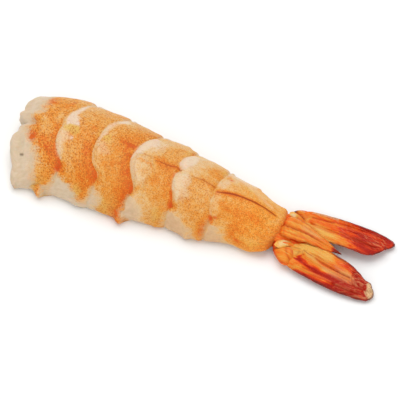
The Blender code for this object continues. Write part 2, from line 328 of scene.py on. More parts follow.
def relief(s, turn):
    """How far the rings' skin stands over the plain dome, with a crease at each ring's edge."""
    height = -CREASE_DEPTH * np.max([bump(s - edge, CREASE_WIDTH) for edge in RING_EDGES[1:-1]], axis=0)
    flank = np.sin(turn) ** 2
    rear_rise = np.where(turn < 0, *REAR_RISE)
    for front, rear in zip(RING_EDGES, RING_EDGES[1:]):
        here = (s >= front) & (s < rear)
        share = np.clip((s - front) / (rear - front), 0, 1)
        height += here * (1 - flank) * RING_SWELL * (1 - step(0.15, 0.9, share))
        if rear != TAIL_JOINT:
            height += here * flank * rear_rise * share**2
    return height


def corner(s, turn):
    """How far the flank stands out at the pointed lower corners of the rings' skin."""
    out = np.zeros_like(s)
    for side, angle, corners in CORNERS:
        here = (turn * side > 0) * bump(np.abs(turn) - math.radians(angle), CORNER_SPAN)
        for tip, reach in corners:
            out += reach * bump(s - tip, np.where(s < tip, 1.9, 0.6)) * here
    return out


def drift(s, angle):
    """How far the ring edges near each place stray from their place on the drawing."""
    edges = zip(RING_DRIFTS, RING_EDGES[1:-1])
    return sum(curve(table, angle) * bump(s - edge, DRIFT_REACH) for table, edge in edges)


def sweep(s, y):
    """How far towards the tail the rings lie on the flanks."""
    table = [*RINGS, (TAIL_JOINT, REAR_SWEEP)]
    share = np.minimum(np.abs(y) / half_width(s, y), 1.0)
    turn = np.arcsin(share) * math.radians(90) / SWEEP_PEAK
    return curve(table, s) * np.sin(turn) ** 2


def cut_rim(y):
    """The edge of the cut seen from above, with the notch and its two lips."""
    return curve(CUT, y) + 1.8 * bump(y + 0.9, 0.9) + 0.6 * bump(y - 2.9, 1.1) - 0.5 * bump(y - 1.3, 0.8)


def placed(s, y, z):
    """The skin's places after the sweep of the rings, the slant of the cut and the lift of the tail joint."""
    fade = 1 - step(HEAD_END, HEAD_END + CUT_BLEND, s)
    x = s + sweep(s, y)
    x += fade * (cut_rim(y) + CUT_BULGE - HEAD_END - sweep(np.full_like(s, HEAD_END), y))
    lift = REAR_LIFT * step(TAIL_JOINT - 6, TAIL_JOINT, s)
    z = z + lift * np.maximum(0.0, 1 - z / curve(FLESH, s, 3))
    return x, y, z


def shape_flesh(piece, detail):
    """Moves the tube's vertices to the flesh's surface. Returns where each one is on the skin."""
    x, y, z = places_of(piece).T
    drawn = HEAD_END + (x + 0.5) * (TAIL_JOINT - HEAD_END)
    shrink = np.clip(np.hypot(y, z), 0.0, 1.0)
    round_share = np.arctan2(y, z) / math.pi
    side = np.where(round_share < 0, -1.0, 1.0)
    share = np.where(shrink < 1e-5, 0.0, np.abs(round_share))
    turn = side * np.minimum(share / BACK_SHARE, 1.0) * math.pi / 2
    edge = np.clip((share - BACK_SHARE) / (EDGE_SHARE - BACK_SHARE), 0, 1)
    inward = np.clip((share - EDGE_SHARE) / (1 - EDGE_SHARE), 0, 1)
    angle = np.degrees(turn) + side * (edge * 15 + inward * 75)

    extra = detail(drawn, angle) * step(1.0, 0.35, inward)
    rise, rise_at_edge = relief(drawn, turn), relief(drawn, side * math.pi / 2)
    s = drawn + drift(drawn, angle)
    back_y = (half_width(s, turn) + rise + extra) * np.sin(turn)
    back_y += np.copysign(corner(s, turn), turn)
    closing = 1.2 * step(13.0, 22.6, s)
    height = curve(FLESH, s, 3) - WIDEST_HEIGHT + rise + extra - closing
    back_z = WIDEST_HEIGHT + height * np.cos(turn)
    widest = half_width(s, side) + rise_at_edge + corner(s, side * math.pi / 2)
    quarter = edge * math.pi / 2
    under_y = side * (widest + extra - EDGE_RADIUS * (1 - np.cos(quarter)))
    under_z = WIDEST_HEIGHT * (1 - np.sin(quarter))
    belly_y = side * (widest - EDGE_RADIUS) * (1 - inward)
    belly_z = SLIT_HEIGHT * np.clip(1 - np.abs(belly_y) / SLIT_HALF, 0, 1)
    belly_z *= step(-47.0, -42.0, s) * step(12.0, 7.0, s)
    on_back, on_belly = share <= BACK_SHARE, inward > 0
    skin_y = np.where(on_back, back_y, np.where(on_belly, belly_y, under_y))
    skin_z = np.where(on_back, back_z, np.where(on_belly, belly_z, under_z))
    px, py, pz = placed(s, skin_y, skin_z)

    # the rounded cut face at the head end follows the rim at each smaller width
    face = x < -0.4999
    cut_y = py * shrink
    cut_z = CUT_CENTRE + (pz - CUT_CENTRE) * shrink
    fibres = 0.25 * lumps(3.1, cut_y, cut_z, 1.6) * step(1.0, 0.8, shrink)
    cut_x = cut_rim(cut_y) + CUT_BULGE * (1 - np.sqrt(np.clip(1 - shrink**4, 0, 1))) + fibres
    # and the tail joint is closed behind the pads
    joint = x > 0.4999
    joint_y = skin_y * shrink
    joint_z = JOINT_CENTRE + (pz - JOINT_CENTRE) * shrink
    joint_x = TAIL_JOINT + sweep(np.full_like(s, TAIL_JOINT), joint_y)
    joint_x += JOINT_BULGE * np.sqrt(np.clip(1 - shrink**2, 0, 1))
    px = np.where(face, cut_x, np.where(joint, joint_x, px))
    py = np.where(face, cut_y, np.where(joint, joint_y, py))
    pz = np.where(face, cut_z, np.where(joint, joint_z, pz))
    put(piece, np.stack([px, py, pz], -1) + FRAME_SHIFT)
    return drawn, angle, shrink, px


# ---------------------------------------------------------------- the flesh: where each tone lies

# Where the orange skin of each ring begins, further round the flank than its front edge on the
# back: (degrees round from the middle of the back, place along the back). Below it the white shows.
SKIN_FRONTS = (
    ((0, -40.6), (48, -40.6), (52, -39.4), (57, -37.6), (62, -35.2), (70, -32.6), (78, -29.9), (100, -24)),
    ((0, -29.6), (48, -29.6), (53, -28.5), (60, -26.6), (70, -25.5), (80, -25.0), (95, -24.0), (115, -17)),
    ((0, -19.7), (48, -19.7), (51, -18.0), (54, -16.2), (62, -14.9), (72, -13.9), (84, -13.2), (100, -11)),
    ((0, -8.3), (52, -8.3), (55, -6.2), (58, -3.6), (64, -1.2), (70, 0.6), (85, 1.8), (110, 5)),
    ((0, 3.0), (48, 3.0), (52, 4.4), (56, 7.2), (65, 8.8), (75, 9.8), (85, 10.8), (105, 20)),
)
# The first ring's skin starts behind a border of white flesh at the cut.
# (degrees round, left side negative; place along the back)
FIRST_FRONT = (
    (-112, -36.0), (-90, -41.9), (-74, -43.6), (-56, -45.0), (-42, -44.9), (-29, -45.0), (-25, -46.0),
    (-21, -46.7), (-14, -47.9), (-8, -49.0), (-3, -49.2), (1, -48.0), (8, -46.3), (23, -46.1), (39, -46.6),
    (52, -46.2), (60, -44.6), (70, -42.6), (85, -41.6), (112, -37.0),
)

# How much orange pigment each ring's skin holds over the back, from its front edge to its rear:
# (share of the ring, left side, right side). 0 is cream, 0.6 orange, 1 deep orange.
RING_TONES = (
    ((0, 0.72, 0.66), (0.4, 0.62, 0.6), (0.75, 0.72, 0.6), (1, 0.84, 0.58)),
    ((0, 0.12, 0.26), (0.1, 0.22, 0.3), (0.28, 0.48, 0.38), (0.6, 0.6, 0.52), (0.84, 0.7, 0.54),
        (1, 0.76, 0.48)),
    ((0, 0.16, 0.1), (0.1, 0.32, 0.34), (0.32, 0.52, 0.5), (0.6, 0.62, 0.66), (0.84, 0.86, 0.7),
        (1, 0.9, 0.5)),
    ((0, 0.0, 0.0), (0.16, 0.02, 0.0), (0.38, 0.3, 0.18), (0.6, 0.52, 0.46), (0.85, 0.66, 0.5),
        (1, 0.8, 0.46)),
    ((0, 0.04, 0.0), (0.14, 0.08, 0.0), (0.32, 0.26, 0.1), (0.6, 0.42, 0.34), (0.85, 0.46, 0.44),
        (1, 0.5, 0.4)),
    ((0, 0.24, 0.06), (0.07, 0.38, 0.24), (0.2, 0.56, 0.38), (0.4, 0.66, 0.44), (0.8, 0.62, 0.46),
        (1, 0.6, 0.5)),
)
# Soft patches that hold more pigment than that, or less:
# (place along the back, degrees round, half length, half span in degrees, how much more)
TONE_PATCHES = (
    (-44.6, -3, 2.2, 5, -0.22),
    (-24.0, -24, 3.0, 9, 0.08),
    (-4.6, -12, 2.0, 16, -0.12),
    (-46.8, -17, 1.8, 6, 0.3),
    (-43.2, -24, 1.8, 8, 0.2),
    (-41.4, -31, 1.4, 8, 0.2),
    (-39.9, -44, 1.0, 8, 0.45),
    (-38.5, -43, 1.4, 9, 0.4),
    (-27.9, -40, 1.3, 8, 0.35),
    (-17.5, -40, 1.3, 8, 0.45),
    (-5.8, -46, 1.3, 8, 0.45),
    (-0.5, -50, 3.0, 14, 0.12),
    (-31.5, -50, 2.4, 12, 0.15),
    (-36.5, -26, 2.0, 16, -0.08),
    (-40.8, 8, 1.0, 10, -0.2),
    (-27.0, 40, 2.6, 9, -0.2),
    (6.8, -40, 1.2, 8, 0.2),
    (-46.0, 27, 1.1, 12, 0.3),
    (-44.4, -50, 1.5, 8, -0.16),
    (-42.9, -12, 1.8, 7, -0.16),
    (-17.4, 41, 2.6, 8, 0.3),
    (-7.2, 47, 1.6, 7, 0.25),
    (5.3, 30, 1.0, 5, 0.3),
    (15.5, 27, 3.5, 5, 0.16),
    (-3.4, -35, 2.2, 7, 0.22),
    (-15.0, -35, 2.0, 7, 0.18),
    (-41.6, 36, 0.8, 9, 0.25),
    (-33.0, 8, 1.8, 10, 0.12),
    (-32.0, -36, 1.4, 12, 0.15),
    (-22.8, 11, 1.6, 7, 0.2),
    (-28.0, -73, 1.2, 9, -0.24),
    (-4.2, -77, 1.2, 9, -0.2),
    (-20.6, 6, 1.5, 3.5, 0.34),
    (-21.2, -1, 1.0, 4, 0.16),
    (-21.4, -50, 2.2, 16, 0.12),
    (-12.0, -24, 1.0, 5, 0.2),
    (-7.4, -38, 0.9, 12, 0.25),
    (-7.2, -47, 1.1, 7, 0.3),
    (4.6, -46, 0.9, 7, 0.35),
    (3.6, -66, 1.1, 18, 0.35),
    (7.0, -18, 1.3, 4, 0.2),
    (9.0, -24, 1.8, 5, 0.16),
    (15.0, -21, 3.6, 8, 0.2),
    (13.0, -48, 2.0, 9, 0.15),
    (12.0, -64, 1.2, 8, 0.2),
    (14.0, -72, 1.8, 6, 0.25),
    (9.2, -8, 2.4, 4, -0.12),
    (10.0, -40, 1.6, 8, -0.12),
    (17.5, -58, 2.2, 7, -0.16),
    (20.0, -8, 1.6, 10, -0.14),
    (7.0, 30, 1.6, 8, -0.2),
)
# Patches with a clear outline: (how much more pigment, softness in millimetres,
# corners as places along the back and degrees round)
TONE_PLATES = (
    (0.16, 0.7, ((-31.8, -11), (-30.4, -8), (-29.1, -25), (-27.6, -39), (-27.4, -47), (-29.2, -52),
        (-30.7, -37))),
    (0.12, 0.7, ((-19.9, -22), (-18.6, -20), (-17.9, -36), (-17.7, -48), (-18.4, -66), (-20.3, -59),
        (-19.8, -45))),
    (0.16, 0.6, ((-14.0, 3.0), (-12.4, 9.5), (-9.5, 8.5), (-7.0, 7.5), (-6.2, 4.0), (-7.6, 1.5),
        (-10.5, 0.0), (-13.0, -1.5))),
    (0.24, 0.5, ((-25.4, 13), (-23.2, 11), (-21.5, 9), (-19.6, 9), (-19.2, 3), (-21.4, 2.5),
        (-23.4, 5.5), (-25.6, 9.5))),
    (0.2, 0.7, ((-0.2, 17.5), (-0.2, 41), (3.3, 50), (3.6, 29.5), (3.2, 16.5))),
    (0.4, 0.3, ((-18.0, -8.5), (-16.6, -5.5), (-15.0, -5.0), (-13.4, -9.0), (-13.2, -11.5),
        (-15.2, -7.5), (-17.2, -9.5))),
)
# Where the skin is nearly bare: (how pale, how plump in millimetres, softness, corners)
PALE_PLATES = (
    (1.0, 0.0, 0.3, ((-39.3, 5.5), (-39.9, 12.5), (-40.4, 20), (-41.0, 33), (-41.4, 49), (-40.5, 46),
        (-39.5, 30), (-38.2, 21), (-35.3, 5.5), (-38.4, -1))),
    (0.5, 0.25, 0.5, ((-39.7, -11), (-38.6, -8), (-36.9, -7), (-35.4, -12), (-37.6, -18), (-38.2, -26),
        (-38.0, -34), (-38.9, -34), (-39.6, -23))),
    (0.85, 0.0, 0.3, ((-36.1, -8.5), (-35.1, -9.5), (-35.0, -12.5), (-36.1, -13))),
    (0.9, 0.0, 0.35, ((-29.9, 34), (-29.3, 46), (-27.4, 38), (-28.6, 29))),
    (0.65, 0.0, 0.4, ((-28.8, -3), (-29.4, 4.5), (-30.0, 18), (-30.2, 32), (-29.3, 32), (-28.8, 18),
        (-28.1, 5), (-28.1, -3))),
    (0.3, 0.0, 0.6, ((-28.8, -4), (-26.4, -4), (-25.4, -12), (-27.2, -17), (-28.6, -14))),
    (0.1, 0.45, 0.5, ((-18.9, -11), (-18.4, -2), (-16.6, 0.5), (-14.7, -1), (-13.1, -11.5), (-12.9, -22),
        (-14.3, -31), (-16.3, -33), (-17.8, -26))),
    (0.75, 0.3, 0.45, ((-19.1, -6), (-19.4, 8.5), (-19.5, 24), (-19.3, 31), (-18.0, 34), (-16.8, 28),
        (-15.3, 21), (-15.9, 13), (-17.0, 4), (-18.3, -1))),
    (0.35, 0.0, 0.6, ((-16.8, 30), (-14.8, 35), (-13.1, 22), (-14.9, 14))),
    (0.85, 0.25, 0.45, ((-7.9, 12), (-8.3, 27), (-7.4, 38), (-4.8, 35), (-3.9, 21), (-4.6, 11), (-6.6, 5))),
    (0.35, 0.35, 0.5, ((-7.6, -5), (-6.3, -0.5), (-3.8, 1), (-2.6, -7), (-2.6, -18), (-1.4, -26),
        (-2.9, -34), (-5.1, -35), (-6.9, -23))),
    (0.36, 0.0, 0.5, ((3.7, 9), (4.7, 20), (5.8, 20), (5.9, 6.5), (4.4, 1))),
    (0.1, 0.0, 0.6, ((3.4, -16), (4.1, -6), (5.2, -6), (6.0, -20), (5.0, -32))),
    (0.6, 0.0, 0.7, ((4.0, 62), (4.4, 44), (8.4, 42), (12.5, 47), (12.0, 62))),
    (0.35, 0.0, 0.5, ((5.0, 43), (9.0, 35), (12.0, 29), (16.0, 21), (18.5, 17), (18.5, 24), (14.0, 34),
        (9.0, 46))),
)

# The pigment on the flanks, below the plump part of the back: (place along the back, pigment)
FLANK_TONES = (
    (-50, 0.62), (-41, 0.66), (-39.4, 0.64), (-34, 0.6), (-29, 0.7), (-27, 0.5), (-22, 0.66), (-18.8, 0.85),
    (-17.8, 0.2), (-13, 0.26), (-9.5, 0.5), (-7.4, 0.6), (-6.6, 0.14), (-2, 0.24), (1.5, 0.46), (4, 0.7),
    (5.4, 0.3), (10, 0.5), (13, 0.66), (22, 0.66),
)
# Red and yellow blots, measured like the soft patches: (..., strength)
RED_SPOTS = (
    (-45.9, -20.0, 1.1, 4.0, 1.0),
    (-45.4, 27, 0.8, 3.0, 0.7),
    (-40.2, -45, 0.8, 5.0, 1.0),
    (-29.2, -40, 0.7, 5.5, 0.7),
    (-19.2, -41, 0.6, 5.5, 1.0),
    (-19.6, -76, 0.7, 5.0, 0.8),
    (-7.7, -46.5, 0.7, 5.0, 1.0),
    (-7.7, -36, 0.4, 4.0, 0.6),
    (4.2, -44, 0.7, 4.5, 1.2),
    (5.9, -41, 1.0, 2.4, 1.0),
    (5.0, -51, 0.4, 3.0, 0.7),
    (14.0, -72, 1.0, 3.5, 0.5),
    (-32.0, 11, 0.4, 2.0, 0.5),
    (-28.9, 52, 0.3, 5.0, 0.5),
    (-19.0, 50, 0.3, 5.0, 0.6),
    (-7.8, 46, 0.4, 2.5, 0.9),
    (4.5, 37.5, 0.4, 2.2, 0.9),
    (6.1, 27, 0.6, 2.8, 1.0),
    (-46.2, 33, 0.5, 3.0, 0.6),
    (-22.0, 8, 0.7, 3.0, 0.4),
)
YELLOW = (
    (-28.4, 9, 1.0, 7, 0.4),
    (-26.2, 0, 1.0, 2.4, 0.5),
    (-17.4, 0.4, 0.9, 1.8, 0.8),
    (-22.6, -66, 1.2, 12, 0.4),
    (-9.2, -64, 1.4, 9, 0.4),
    (-8.6, 44, 0.9, 9, 0.5),
    (-5.0, 44, 1.0, 5, 0.4),
    (2.8, 42, 0.9, 9, 0.5),
    (12.5, 30, 3.0, 5, 0.5),
    (18.0, -66, 2.4, 8, 0.4),
    (-42.6, -76, 1.6, 15, 0.7),
)
# Yellow patches with an outline: (strength, softness, corners)
YELLOW_PLATES = (
    (1.0, 0.3, ((-39.0, -1.5), (-38.2, 1), (-35.4, 5.0), (-34.3, -2.5), (-34.8, -5.5), (-36.3, -6.5),
        (-38.5, -6.5))),
    (0.9, 0.4, ((-28.2, 5), (-27.2, 10), (-26.0, 2), (-26.4, -3), (-28.0, -1))),
    (0.7, 0.5, ((-33.4, -57), (-33.4, -65), (-31.6, -74), (-30.4, -76), (-30.8, -67), (-31.6, -57))),
    (0.6, 0.8, ((-25.3, -63), (-23.2, -62), (-21.4, -71), (-20.6, -92), (-22.4, -92), (-24.0, -84))),
    (0.5, 0.6, ((-10.2, -57), (-8.2, -55), (-7.2, -74), (-7.8, -83), (-9.2, -80))),
)
# Brown lines along the middle of the back, thinner at their first place: (strength, width, places)
BACK_LINES = (
    (0.8, 0.22, ((-13.2, 1.0), (-11.9, 2.0), (-10.3, 2.5), (-9.0, 3.5), (-7.8, 5.5), (-6.4, 3.0))),
    (0.4, 0.18, ((-18.6, -1.5), (-17.7, 1.2), (-16.5, 2.2), (-15.1, 2.8), (-13.9, 2.5))),
    (0.34, 0.2, ((-18.0, 0.5), (-18.0, -3.5), (-17.8, -10.0), (-17.6, -17.0), (-17.1, -23.0),
        (-16.3, -28.0))),
    (0.75, 0.2, ((-3.1, 0.5), (-1.8, 1.5), (-0.3, 3.2), (1.2, 2.2), (3.5, 0.0))),
    (1.5, 0.28, ((4.5, -5.5), (5.7, -3.8), (7.3, -0.6), (8.7, 1.6), (10.5, 3.2), (12.6, 4.5),
        (15.9, 7.4), (17.7, 7.9), (19.6, 6.8))),
)
# Where the skin's grain of dots is stronger, or fainter, measured like the soft patches
GRAIN_PATCHES = (
    (-43.5, -30, 3.0, 26, 0.15),
    (-24.0, -36, 4.0, 36, -0.34),
    (-30.5, -52, 3.0, 14, -0.2),
    (-15.0, -20, 4.5, 22, -0.3),
    (-13.0, -54, 5.0, 16, -0.25),
    (-1.0, -30, 4.5, 34, 0.35),
    (18.0, -36, 5.0, 50, 0.2),
)
# The dark speck on the head end
SPECK = ((-48.7, -37.5), (-48.1, -37.8))


def unrolled(angle):
    """How far round the flesh these degrees are, in millimetres."""
    return np.radians(angle) * FLANK_RADIUS


def unrolled_line(places):
    return [(s, unrolled(angle)) for s, angle in places]


def patch(s, angle, place, middle, length, span):
    near = ((s - place) / length) ** 2 + ((angle - middle) / span) ** 2
    return np.exp(-(near**1.3))


def patches(table, s, angle):
    """The strongest of the table's soft patches at each place."""
    return np.max([strength * patch(s, angle, *where) for *where, strength in table], axis=0)


def plates(table, s, angle):
    """The strongest of the table's outlined patches, whose corners are given in degrees round."""
    rows = [(strength, soft, unrolled_line(corners)) for strength, soft, corners in table]
    return outlined(rows, s, unrolled(angle))


def pigment(s, angle):
    """How much orange pigment the skin holds at each place. On the upper right flank it is lowered, partly
    for paler skin and partly as a painted highlight.
    """
    tone = np.zeros_like(s)
    right = step(-4, 4, angle)
    on_ring = np.clip(s, RING_EDGES[0], TAIL_JOINT - 1e-6)
    for tones, front, rear in zip(RING_TONES, RING_EDGES, RING_EDGES[1:]):
        here = (on_ring >= front) & (on_ring < rear)
        share = (s - front) / (rear - front)
        tone += here * (curve(tones, share) * (1 - right) + curve(tones, share, 2) * right)
    flank = step(36, 60, np.abs(angle))
    tone = tone * (1 - flank) + flank * curve(FLANK_TONES, s)
    # painted highlight in part: the upper right flank gets less pigment, partly paler skin and partly
    # standing in for the light that falls there
    tone = tone * (1 - 0.3 * step(26, 46, angle))
    return tone + sum(more * patch(s, angle, *where) for *where, more in TONE_PATCHES)


def skin_reach(s, angle):
    """How far inside its ring's orange skin each place is, in millimetres; negative on the white."""
    around = np.abs(angle)
    spot = s + drift(s, angle) * step(44, 52, around)
    reach = np.minimum(0.7 * (s - curve(FIRST_FRONT, angle)), RING_EDGES[1] - s)
    for table, front, rear in zip(SKIN_FRONTS, RING_EDGES[1:], RING_EDGES[2:]):
        rear = rear + 3 if rear == TAIL_JOINT else rear
        slope = 0.35 if front == RING_EDGES[-2] else 0.6
        reach = np.maximum(reach, np.minimum(slope * (spot - curve(table, around)), rear - s))
    # on the back the skin runs on over the ring edges
    joined = np.min([np.abs(s - edge) for edge in RING_EDGES[1:-1]], axis=0)
    bridge = 2.6 * step(49, 45, around) * step(2.0, 1.2, joined) - 1
    reach = np.where(bridge > 0, np.maximum(reach, bridge), reach)
    under = step(100, 114, around)
    return reach * (1 - under) - 1.6 * under


def back_line(s, angle):
    """The brown lines on the back, and the warmer skin beside them."""
    mark, beside = np.zeros_like(s), np.zeros_like(s)
    around = unrolled(angle)
    for strength, width, places in BACK_LINES:
        line = unrolled_line(places)
        away = line_distance(line, s, around)
        from_first = np.hypot(s - line[0][0], around - line[0][1])
        thinned = width * (0.4 + 0.6 * step(0.0, 3.6, from_first))
        mark = np.maximum(mark, strength * bump(away, thinned))
        beside = np.maximum(beside, 0.3 * strength * bump(away, 0.9))
    return mark, beside


def wander(s, angle):
    """Where each place takes its tone from, so that edges wander a little, without and with the drift."""
    around = unrolled(angle)
    free = step(0.2, 1.4, np.min([np.abs(s - edge) for edge in RING_EDGES], axis=0))
    along = 0.7 * lumps(s, around, 21, 2.4) + 0.35 * lumps(s, around, 25, 0.9)
    across = 0.7 * lumps(s, around, 31, 2.4) + 0.35 * lumps(s, around, 35, 0.9)
    s, angle = s + along * free, angle + np.degrees(across / FLANK_RADIUS)
    return (s, angle), (s + drift(s, angle), angle)


def flesh_detail(s, angle):
    """Fine relief over the CAD form: the skin's edge, the line down the back and soft lumps."""
    around = unrolled(angle)
    toned, spot = wander(s, angle)
    skin = step(-0.6, 0.6, skin_reach(*toned))
    fine = 0.12 * lumps(s, around, 5, 3.1) + 0.05 * lumps(s, around, 9, 1.1)
    fine += 0.25 * lumps(s, around, 13, 1.7) * step(-45.5, -47.5, s)
    plump = np.zeros_like(s)
    for front, rise in zip(RING_EDGES[1:-1], PLUMPNESS):
        share = np.clip((s - front) / PLUMP_LENGTH, 0, 1)
        plump += rise * np.sin(np.pi * share) ** 2 * step(55, 25, np.abs(angle))
    plump += plates([(rise, soft + 0.3, corners) for _, rise, soft, corners in PALE_PLATES if rise], *spot)
    closing = np.clip((s - TAIL_JOINT + 2.2) / 2.25, 0, 1)
    plump = plump - 0.75 * (1 - np.sqrt(np.clip(1 - closing**2, 0, 1)))
    gathers = 0.16 * np.sin(around * 2.6 + 0.5 * (s - 20)) + 0.16 * lumps(s * 0.4, around, 17, 0.8)
    fine += gathers * step(18.5, 21.8, s)
    furrow = 0.25 * bump(angle - 1, 5) * step(-30, -20, s) * step(4, 2, s)
    mark, _ = back_line(s + drift(s, angle), angle)
    return SKIN_STEP * (skin - 1) + plump * (1 - furrow * 2) - LINE_DEPTH * mark + fine


# What each flesh piece tells its material about each vertex: how many millimetres inside the orange
# skin it is, how much pigment it holds, and how strong each mark is there
FLESH_NOTES = (
    "skin_reach",
    "pigment",
    "pale",
    "red",
    "speck",
    "yellow",
    "back_line",
    "seam",
    "dots",
    "stain",
    "tail_end",
)


def make_flesh(material):
    piece = tube("shrimp_flesh", around=272, along=(66, 5), rings_front=22, rings_rear=10)
    s, angle, shrink, x = shape_flesh(piece, flesh_detail)
    toned, spot = wander(s, angle)
    place, around = s + drift(s, angle), unrolled(angle)
    on_end = shrink < 0.9999
    reach = np.where(on_end & (x < HEAD_END + 10), -2.0, skin_reach(*toned))
    red = patches(RED_SPOTS, s, angle)
    mark, beside = back_line(place, angle)
    grain = sum(more * patch(s, angle, *where) for *where, more in GRAIN_PATCHES)
    frayed = 0.7 + 1.8 * np.clip(lumps(s * 0.3, around, 19, 0.9), 0, 1)
    seam = np.maximum(0.75 * bump(s - TAIL_JOINT, 0.35), 0.45 * bump(s - TAIL_JOINT, frayed))
    note(
        piece,
        FLESH_NOTES,
        np.stack([place, around, shrink * 5], -1),
        skin_reach=np.clip(np.maximum(reach, 3.0 * red - 1.6), -2.5, 2.5),
        pigment=pigment(*toned) + plates(TONE_PLATES, *spot) + beside,
        pale=plates([(share, soft, corners) for share, _, soft, corners in PALE_PLATES], *spot),
        red=red,
        speck=0.85 * bump(line_distance(unrolled_line(SPECK), place, around), 0.21),
        yellow=np.maximum(patches(YELLOW, *toned), plates(YELLOW_PLATES, *spot)),
        back_line=mark,
        seam=np.where(on_end & (x > 15), 0.6, seam),
        dots=0.6 + 0.4 * step(6, -24, s) + grain,
        stain=step(-34, 2, s),
        # painted light: a mask for brightening the skin's colour towards the tail end
        tail_end=step(3, 18, s),
    )
    done(piece, material, "flesh", "flesh")


# ---------------------------------------------------------------- materials


def new_material(name):
    material = bpy.data.materials.new(name)
    material.use_nodes = True
    tree = material.node_tree
    return material, tree, tree.nodes["Principled BSDF"]


def fill(tree, socket, value):
    """Links another node's output to the socket, or sets its value."""
    if isinstance(value, bpy.types.NodeSocket):
        tree.links.new(value, socket)
    elif socket.type == "RGBA":
        socket.default_value = (*value, 1.0)
    else:
        socket.default_value = value


def add(tree, kind, inputs=None, **settings):
    """A new node with its settings and its inputs."""
    made = tree.nodes.new(kind)
    for key, value in settings.items():
        setattr(made, key, value)
    for key, value in (inputs or {}).items():
        fill(tree, made.inputs[key], value)
    return made


def read(tree, name, output="Fac"):
    return add(tree, "ShaderNodeAttribute", attribute_name=name).outputs[output]


def ramp(tree, value, low, high, out_low=0.0, out_high=1.0, kind="SMOOTHSTEP"):
    """Eases from out_low to out_high as the value goes from low to high."""
    ends = {"From Min": low, "From Max": high, "To Min": out_low, "To Max": out_high}
    made = add(tree, "ShaderNodeMapRange", {"Value": value, **ends}, interpolation_type=kind)
    return made.outputs["Result"]


def arithmetic(tree, operation, first, second):
    return add(tree, "ShaderNodeMath", {0: first, 1: second}, operation=operation).outputs[0]


def plus(tree, first, second):
    return arithmetic(tree, "ADD", first, second)


def minus(tree, first, second):
    return arithmetic(tree, "SUBTRACT", first, second)


def times(tree, first, second):
    return arithmetic(tree, "MULTIPLY", first, second)


def blend(tree, share, first, second, kind="MIX"):
    """The first colour with a share of the second laid over it."""
    colours = {0: share, 6: first, 7: second}
    made = add(tree, "ShaderNodeMix", colours, data_type="RGBA", blend_type=kind, clamp_factor=True)
    return made.outputs[2]


def shades(tree, value, *stops):
    """A colour ramp through the stops, each a value and its colour."""
    low, high = stops[0][0], stops[-1][0]
    made = add(tree, "ShaderNodeValToRGB", {"Fac": ramp(tree, value, low, high, kind="LINEAR")})
    points = made.color_ramp.elements
    while len(points) < len(stops):
        points.new(0.5)
    for point, (at, colour) in zip(points, stops):
        point.position = (at - low) / (high - low)
        point.color = (*colour, 1.0)
    return made.outputs["Color"]


def clouds(tree, vector, scale, detail=3.0, roughness=0.55, distortion=0.0):
    """Soft noise, scale times per millimetre."""
    inputs = {"Scale": scale, "Detail": detail, "Roughness": roughness, "Distortion": distortion}
    return add(tree, "ShaderNodeTexNoise", {"Vector": vector, **inputs}).outputs["Fac"]


def stretched(tree, vector, scale, turn=0.0):
    """The vector turned in its own plane and then scaled, for streaks that run along the piece."""
    made = add(tree, "ShaderNodeMapping", {"Vector": vector, "Rotation": (0, 0, turn), "Scale": scale})
    return made.outputs["Vector"]


def stipple_group():
    """Fine dots of pigment, of uneven size, joined here and there. Gives a mask."""
    group = bpy.data.node_groups.new("pigment dots", "ShaderNodeTree")
    face = group.interface
    face.new_socket("Vector", in_out="INPUT", socket_type="NodeSocketVector")
    face.new_socket("Spacing per mm", in_out="INPUT", socket_type="NodeSocketFloat")
    face.new_socket("Size", in_out="INPUT", socket_type="NodeSocketFloat")
    face.new_socket("Dots", in_out="OUTPUT", socket_type="NodeSocketFloat")
    start = group.nodes.new("NodeGroupInput").outputs
    end = group.nodes.new("NodeGroupOutput").inputs
    warp = add(group, "ShaderNodeTexNoise", {"Vector": start["Vector"], "Scale": 1.6, "Detail": 2.0})
    shift = {0: warp.outputs["Color"], 1: (0.55, 0.55, 0.55)}
    moved = add(group, "ShaderNodeVectorMath", shift, operation="MULTIPLY")
    place = add(group, "ShaderNodeVectorMath", {0: start["Vector"], 1: moved.outputs[0]}, operation="ADD")
    spacing = {"Vector": place.outputs[0], "Scale": start["Spacing per mm"], "Randomness": 1.0}
    cells = add(group, "ShaderNodeTexVoronoi", spacing, feature="F1")
    uneven = add(group, "ShaderNodeSeparateColor", {"Color": cells.outputs["Color"]})
    limit = plus(group, start["Size"], times(group, uneven.outputs[0], 0.22))
    dots = ramp(group, cells.outputs["Distance"], limit, times(group, limit, 0.35))
    group.links.new(dots, end["Dots"])
    return group


def finish_look(tree, shader, colour, roughness, height, strength, distance):
    """Gives the shader its colour, its roughness and its fine relief."""
    relief = {"Height": height, "Strength": strength, "Distance": distance}
    raised = add(tree, "ShaderNodeBump", relief).outputs["Normal"]
    fill(tree, shader.inputs["Base Color"], colour)
    fill(tree, shader.inputs["Roughness"], roughness)
    fill(tree, shader.inputs["Normal"], raised)


